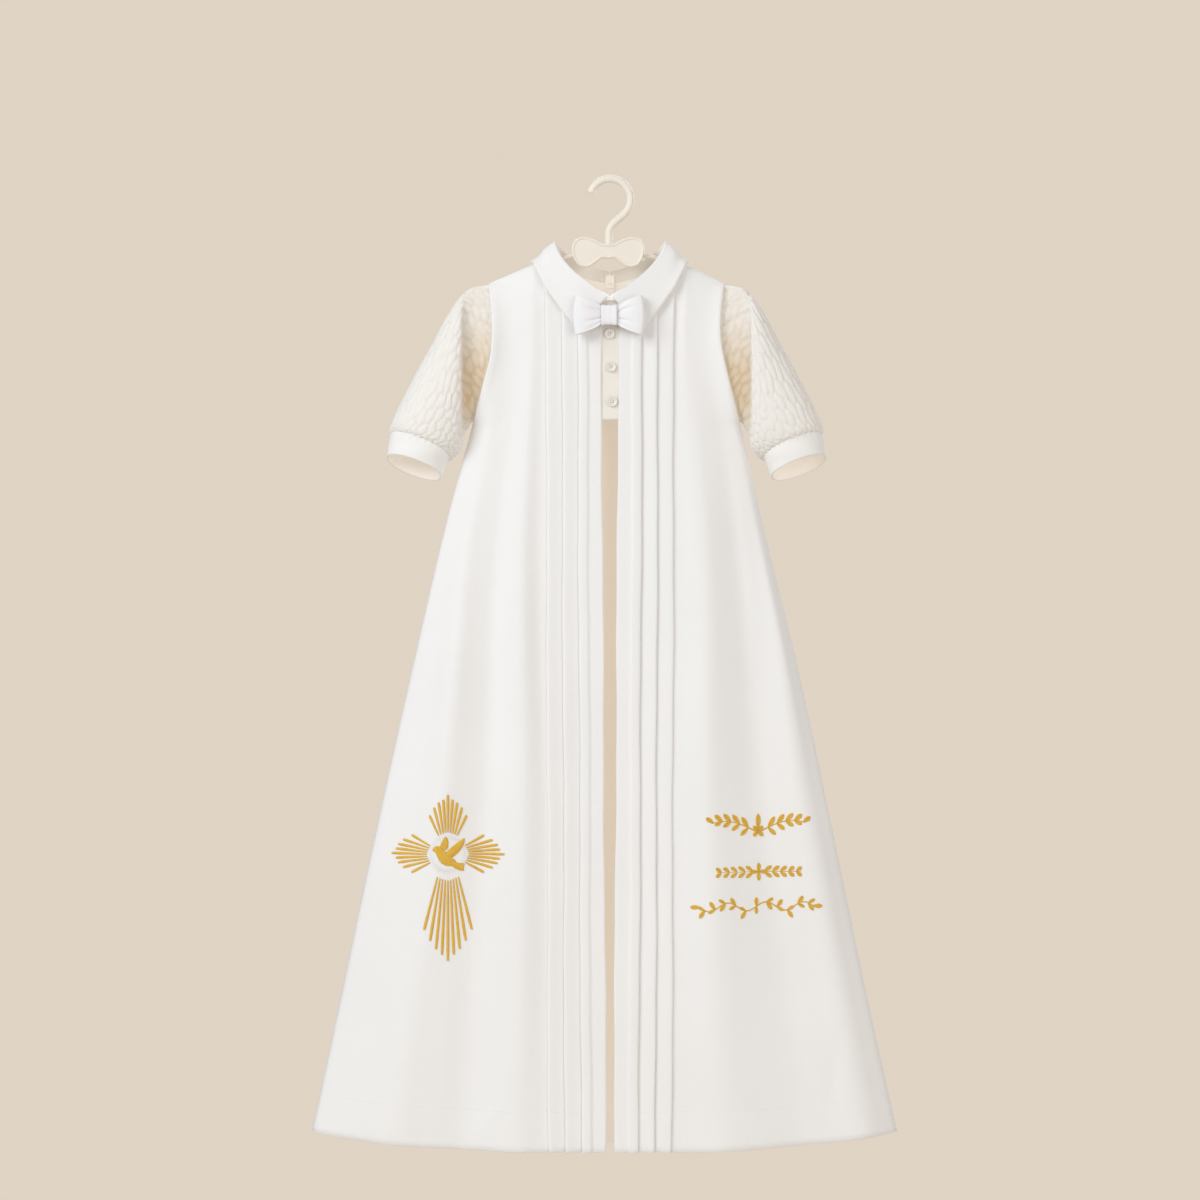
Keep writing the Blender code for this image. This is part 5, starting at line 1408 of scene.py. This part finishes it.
def make_collar():
    """The two collar halves, with a thin darker cord along each edge that paints the shadow line under it."""
    grid = collar_sheet()
    normal = surface_normals(grid)
    # Painted shade: the stand's rows, below the roll, get the collar's shade colour; the underside facing the body
    # takes the painted glow.
    stand = np.ones(grid.shape[:2]) * (1.0 - smooth_step((np.arange(grid.shape[1]) - 8.0) / 5.0))[None, :]
    pieces = []
    for side, sign in SIDES:
        flip = np.array([sign, 1.0, 1.0])
        collar = cloth_wall("gown_collar_" + side, grid * flip, normal * flip, 0.0013, COLLAR_UNDER, shade=stand,
                            inside=COLLAR)
        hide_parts("collar_" + side)
        # A darker cream cord along the outer edge and the front end: a painted shadow line.
        edge = [grid[column, -1] for column in range(len(grid))]
        front = [grid[0, row] for row in range(len(grid[0]) - 1, 10, -1)]
        piping = tube("collar_piping_" + side, [point * flip for point in (front[::-1] + edge)], 0.00050, CORD_WITH_SHADE_LINE)
        declare_sheet(collar, grid)
        pieces += [collar, piping]
    return pieces


def tube(name, route, radius, finish, sides=8):
    """A round cord along a route."""
    route = resampled(np.array(route), 0.0012)
    heading = np.gradient(route, axis=0)
    heading /= np.linalg.norm(heading, axis=1, keepdims=True)
    guide = np.array((0.31, -0.87, 0.38))
    across = np.cross(heading, guide)
    across /= np.linalg.norm(across, axis=1, keepdims=True)
    up = np.cross(across, heading)
    turn = 2.0 * math.pi * np.arange(sides) / sides
    ring = across[:, None] * np.cos(turn)[None, :, None] + up[:, None] * np.sin(turn)[None, :, None]
    points = (route[:, None] + ring * radius).reshape(-1, 3)
    faces = []
    for place in range(len(route) - 1):
        for side in range(sides):
            following = (side + 1) % sides
            faces.append((place * sides + side, place * sides + following,
                          (place + 1) * sides + following, (place + 1) * sides + side))
    faces.append(list(range(sides))[::-1])
    faces.append([(len(route) - 1) * sides + side for side in range(sides)])
    return new_piece(name, points, faces, finish)


# Neck, placket and buttons

def strip(face, half_width, top_z, bottom_z, back, across, down):
    """A strip at the centre of the gown, from the body's points moved inwards."""
    sign = -1.0 if face == "front" else 1.0
    neck = FRONT_NECK_Z if face == "front" else BACK_NECK_Z
    grid = []
    for x in np.linspace(-half_width, half_width, across):
        column = []
        for z in np.linspace(top_z, bottom_z, down):
            depth = float(body_depth(face, "right", abs(x), min(z, neck))) - back
            column.append((x, sign * depth, z))
        grid.append(column)
    return np.array(grid)


def facing_normals(grid, facing):
    """Normals of a grid, turned to a side."""
    normal = surface_normals(grid)
    return normal if normal[len(grid) // 2, 1, 1] * facing > 0.0 else -normal


def make_trim():
    """The placket, the strip inside the back and its tab."""
    pieces = []
    grid = strip("front", PLACKET_HALF_WIDTH, PLACKET_TOP_Z, PLACKET_BOTTOM_Z, placket_back(), 41, 76)
    down = np.linspace(0.0, 1.0, 76)[None, :]
    across = np.linspace(-1.0, 1.0, 41)[:, None]
    ripple = 0.00025 * np.sin(9.0 * down + 1.5) * np.cos(2.0 * across) + 0.0002 * np.sin(31.0 * down + across)
    grid[..., 1] += ripple
    placket = cloth_wall("gown_placket", grid, facing_normals(grid, -1.0), PLACKET_CLOTH, IVORY)
    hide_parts("front_placket")
    rows = []
    for z_up in (0.0016, 0.0060):
        z = PLACKET_BOTTOM_Z + z_up
        path = np.array([(x, -float(body_depth("front", "right", abs(x), z)) + placket_back() - PLACKET_CLOTH / 2, z)
                         for x in np.linspace(-0.016, 0.016, 30)])
        rows.append((path, np.tile((0.0, -1.0, 0.0), (len(path), 1))))
    seam = stitch_mesh("placket_stitches", rows, SEWING, 0.00016, 0.0016, 0.0008)
    declare_sheet(placket, grid)
    back = CLOTH / 2 + SEAM_GAP + BACK_STRIP_CLOTH / 2
    top = ROLL_BACK_Z - 0.0034
    grid = strip("back", BACK_STRIP_HALF_WIDTH, top, BACK_STRIP_BOTTOM_Z, back, 15, 50)
    # The strip and the tab take the ivory finish with its painted glow.
    inside = cloth_wall("gown_back_strip", grid, facing_normals(grid, -1.0), BACK_STRIP_CLOTH, IVORY_INSIDE)
    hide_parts("back_placket")
    rows = []
    for x in (-0.0036, 0.0036):
        path = np.array([(x, float(body_depth("back", "right", abs(x), z)) - back - BACK_STRIP_CLOTH / 2, z)
                         for z in np.linspace(BACK_NECK_Z - 0.002, BACK_STRIP_BOTTOM_Z + 0.001, 30)])
        rows.append((path, np.tile((0.0, -1.0, 0.0), (len(path), 1))))
    seam_back = stitch_mesh("back_strip_stitches", rows, SEWING, 0.00016, 0.0016, 0.0008)
    declare_sheet(inside, grid)
    back += SEAM_GAP + BACK_STRIP_CLOTH
    grid = strip("back", NECK_TAB_HALF_WIDTH, top, top - NECK_TAB_HEIGHT - 0.0015, back, 11, 26)
    tab = cloth_wall("gown_neck_tab", grid, facing_normals(grid, -1.0), BACK_STRIP_CLOTH, IVORY_INSIDE)
    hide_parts("neck_tab")
    y = float(body_depth("back", "right", 0.0, BACK_NECK_Z)) - back - BACK_STRIP_CLOTH / 2 - 0.0002
    loop = [(0.0016 * math.sin(t), y, top - 0.0092 + 0.0018 * (1.0 - math.cos(t)) / 2) for t in np.linspace(0.3, 5.98, 22)]
    mark = tube("neck_tab_loop", loop, 0.00022, CORD_WITH_SHADE_LINE, 6)
    return pieces + [placket, seam, inside, seam_back, tab, mark]


def lathe(name, profile, sides, finish):
    """A turned form about the Y axis, from radius and forward pairs."""
    points, faces = [], []
    for radius, forward in profile:
        for side in range(sides):
            turn = 2.0 * math.pi * side / sides
            points.append((radius * math.cos(turn), -forward, radius * math.sin(turn)))
    for ring in range(len(profile) - 1):
        for side in range(sides):
            following = (side + 1) % sides
            faces.append((ring * sides + side, ring * sides + following,
                          (ring + 1) * sides + following, (ring + 1) * sides + side))
    faces.append(list(range(sides))[::-1])
    faces.append([(len(profile) - 1) * sides + side for side in range(sides)])
    return new_piece(name, points, faces, finish)


def make_buttons():
    """Three four-hole buttons with their threads."""
    pieces = []
    radius, thick = BUTTON_RADIUS, BUTTON_THICKNESS
    profile = [(radius * 0.55, 0.0), (radius * 0.88, 0.0), (radius * 0.97, thick * 0.22), (radius, thick * 0.5),
               (radius * 0.985, thick * 0.72), (radius * 0.94, thick * 0.92), (radius * 0.88, thick),
               (radius * 0.80, thick * 0.98), (radius * 0.72, thick * 0.86), (radius * 0.64, thick * 0.70),
               (radius * 0.52, thick * 0.62), (radius * 0.30, thick * 0.60)]
    for number, (x, z) in enumerate(BUTTONS, start=1):
        depth = float(body_depth("front", "right", abs(x), z))
        below = float(body_depth("front", "right", abs(x), z - SLOPE_STEP))
        slope = (below - depth) / SLOPE_STEP
        back_y = placket_back() - depth - PLACKET_CLOTH / 2 - SEAM_GAP
        button = lathe("shirt_button_%d" % number, profile, 48, PEARL)
        cutter = []
        for hole_x in (-0.00105, 0.00105):
            for hole_z in (-0.00105, 0.00105):
                rod = lathe("cutter", [(0.00052, -0.001), (0.00052, 0.004)], 16, PEARL)
                rod.data.transform(Matrix.Translation((hole_x, 0.0, hole_z)))
                cutter.append(rod)
        for rod in cutter:
            cut = button.modifiers.new("hole", "BOOLEAN")
            cut.operation = "DIFFERENCE"
            cut.solver = "EXACT"
            cut.object = rod
        applied(button)
        for rod in cutter:
            bpy.data.objects.remove(rod, do_unlink=True)
        place_button(button.data, x, z, back_y, slope)
        strands = []
        for start, end in (((-1, -1), (1, 1)), ((-1, 1), (1, -1))):
            route = []
            for share in np.linspace(0.0, 1.0, 9):
                bow = math.sin(math.pi * share)
                lift = thick * 0.40 + 0.00085 * bow ** 0.6 + (0.0001 if start[1] > 0 else 0.0)
                route.append(((start[0] + (end[0] - start[0]) * share) * 0.00105, -lift,
                              (start[1] + (end[1] - start[1]) * share) * 0.00105))
            strands.append(tube("button_%d_thread_%d" % (number, len(strands) + 1), route, 0.00030, SEWING, 8))
        for strand in strands:
            place_button(strand.data, x, z, back_y, slope)
        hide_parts("button_%d" % number)
        pieces += [button] + strands
    return pieces


def applied(piece):
    """Applies every modifier of a piece."""
    graph = bpy.context.evaluated_depsgraph_get()
    mesh = bpy.data.meshes.new_from_object(piece.evaluated_get(graph))
    piece.modifiers.clear()
    piece.data = mesh


def place_button(mesh, x, z, back_y, slope):
    """Moves a button's mesh to its place on the placket."""
    for vertex in mesh.vertices:
        old = vertex.co.copy()
        vertex.co = (x + old.x, back_y + old.y + old.z * slope, z + old.z)


# Bow tie

def wing_sheet():
    """Middle surface of the right wing, a loop of ribbon gathered at the knot."""
    reaches = refined((0.0058, 0.0082, 0.0155, 0.0310, 0.0345, 0.0360), 0.0011)
    route = [(reach, 1.0) for reach in reaches[:-1]] + [(reaches[-1], 0.0)] + [(reach, -1.0) for reach in reaches[-2::-1]]
    grid = []
    for reach, layer in route:
        half_depth = float(read_table(WING, WING_COLUMNS, reach, "half_depth"))
        half_height = float(read_table(WING, WING_COLUMNS, reach, "half_height"))
        fan = reach / WING_INNER_REACH
        fade = 1.0 - float(smooth_step((reach - 0.012) / 0.019))
        column = []
        for share in np.linspace(-1.0, 1.0, 49):
            bowed = 1.0 - 0.065 * share * share * (reach / WING_REACH) ** 2
            height = share * half_height
            gather = 0.0
            for centre, depth in ((0.0027, 0.0015), (-0.0024, 0.0014), (0.0058, 0.0007), (-0.0054, 0.0008)):
                line = centre * fan ** 0.75
                gather -= depth * math.exp(-((height - line) / (0.00090 * fan ** 0.5)) ** 2)
            gather *= fade * min(1.0, half_depth / 0.0016)
            swell = 0.0006 * math.sin(math.pi * (share + 1.0) / 2) * float(smooth_step((reach - 0.014) / 0.010))
            column.append((reach * bowed, layer * (half_depth + gather + swell), height))
        grid.append(column)
    return np.array(grid)


def make_bow():
    """The satin bow tie."""
    wing = wing_sheet()
    normal = surface_normals(wing)
    pieces = []
    for side, sign in SIDES:
        flip = np.array([sign, 1.0, 1.0])
        place = wing * flip + np.array([BOW_X, BOW_Y, BOW_Z])
        piece = cloth_wall("tie_wing_" + side, place, normal * flip, 0.0007, SATIN)
        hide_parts("bow_wing_" + side)
        declare_sheet(piece, wing)
        pieces.append(piece)
    around = 72
    grid = []
    for step in range(around):
        turn = 2.0 * math.pi * step / around
        across = math.copysign(abs(math.cos(turn)) ** KNOT_ROUNDNESS, math.cos(turn))
        up = math.copysign(abs(math.sin(turn)) ** KNOT_ROUNDNESS, math.sin(turn))
        column = []
        for share in np.linspace(-1.0, 1.0, 31):
            groove = 0.055 * math.exp(-((share - 0.34) / 0.09) ** 2) + 0.035 * math.exp(-((share + 0.42) / 0.10) ** 2)
            waist = 1.0 - 0.06 * (1.0 - share * share) - groove
            edge = 1.0 - 0.03 * abs(share) ** 12
            column.append((BOW_X + KNOT_HALF[0] * share, BOW_Y + KNOT_HALF[1] * waist * edge * across,
                           BOW_Z + KNOT_HALF[2] * waist * edge * up))
        grid.append(column)
    grid = np.array(grid)
    outward = outward_normals(grid)
    knot = cloth_wall("tie_knot", grid - outward * 0.0006, outward, 0.0011, SATIN, True)
    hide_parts("bow_knot")
    declare_sheet(knot, grid, True)
    return pieces + [knot]


def make_panels():
    """The two fronts, the back and their stitching."""
    for side, _ in SIDES:
        grid, normal, shown = front_sheet(side)
        # The inner faces take the inside finish, with its painted shade and painted glow.
        panel = cloth_wall("gown_front_" + side, grid, normal, THIN, WHITE, inside=WHITE_INSIDE)
        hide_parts("front_" + side)
        hem_row = int(np.argmin(np.abs(FINE_ROWS - (1.0 - HEM_BAND / 0.87))))
        paths = []
        face = grid + normal * THIN / 2
        run = []
        for column in range(len(grid)):
            if shown[column]:
                run.append(column)
            if (not shown[column] or column == len(grid) - 1) and len(run) > 3:
                paths.append((face[run, hem_row], normal[run, hem_row]))
                run = []
            elif not shown[column]:
                run = []
        hem = stitch_mesh("hem_stitches_" + side, paths, SEWING)
        arm = stitch_mesh("armhole_stitches_" + side, [(face[-4, 4:FINE_UNDERARM], normal[-4, 4:FINE_UNDERARM])], SEWING,
                          0.00018, 0.0020, 0.0010)
        declare_sheet(panel, grid)
    grid, normal = back_sheet()
    panel = cloth_wall("gown_back", grid, normal, THIN, WHITE, inside=WHITE_INSIDE)
    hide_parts("back_panel")
    face = grid + normal * THIN / 2
    hem_row = int(np.argmin(np.abs(FINE_ROWS - (1.0 - HEM_BAND / 0.87))))
    hem = stitch_mesh("hem_stitches_back", [(face[2:-2, hem_row], normal[2:-2, hem_row])], SEWING)
    declare_sheet(panel, grid)


def make_stage():
    """Camera, soft lights and a pale floor."""
    camera = bpy.data.cameras.new("camera")
    camera.lens = 102.0
    camera.sensor_width = 36.0
    place = bpy.data.objects.new("camera", camera)
    place.location = (-0.010, -3.43, -0.42118)
    place.rotation_euler = (math.radians(90.0), 0.0, 0.0)
    bpy.context.collection.objects.link(place)
    bpy.context.scene.camera = place
    bpy.context.scene.view_settings.view_transform = "Standard"
    world = bpy.data.worlds.new("room")
    bpy.context.scene.world = world
    world.use_nodes = True
    tree = world.node_tree
    back = tree.nodes["Background"]
    back.inputs["Color"].default_value = (*WALL, 1.0)
    back.inputs["Strength"].default_value = 1.0
    lit = tree.nodes.new("ShaderNodeBackground")
    lit.inputs["Color"].default_value = (*AMBIENT, 1.0)
    lit.inputs["Strength"].default_value = AMBIENT_STRENGTH
    path = tree.nodes.new("ShaderNodeLightPath")
    mix = tree.nodes.new("ShaderNodeMixShader")
    tree.links.new(path.outputs["Is Camera Ray"], mix.inputs["Fac"])
    tree.links.new(lit.outputs[0], mix.inputs[1])
    tree.links.new(back.outputs[0], mix.inputs[2])
    tree.links.new(mix.outputs[0], tree.nodes["World Output"].inputs["Surface"])
    for name, spot, size, power, colour in LIGHTS:
        light = bpy.data.lights.new(name, "AREA")
        light.size = size
        light.energy = power
        light.color = colour
        lamp = bpy.data.objects.new(name, light)
        lamp.location = spot
        aim = Vector((0.0, 0.0, -0.45)) - Vector(spot)
        lamp.rotation_euler = aim.to_track_quat("-Z", "Y").to_euler()
        bpy.context.collection.objects.link(lamp)
    floor_mesh = bpy.data.meshes.new("floor")
    turn = [2.0 * math.pi * step / 64 for step in range(64)]
    floor_mesh.from_pydata([(1.3 * math.cos(t), 1.3 * math.sin(t), -1.30) for t in turn], [], [list(range(64))])
    floor = bpy.data.objects.new("floor", floor_mesh)
    bpy.context.collection.objects.link(floor)
    floor_mesh.materials.append(moulded_finish("pale_floor", (0.66, 0.61, 0.54), (0.70, 0.65, 0.58), 0.8, 40.0, 0.0005))


make_stage()
make_panels()
make_sleeves()
make_collar()
make_trim()
make_buttons()
make_bow()
embroidery = make_cross() + make_ornament()
for node in ("hanger_frame", "hanger_bow"):
    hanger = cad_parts[node]
    hanger.data.materials.clear()
    hanger.data.materials.append(PLASTIC)

print("FLAT", json.dumps(flat_sizes))
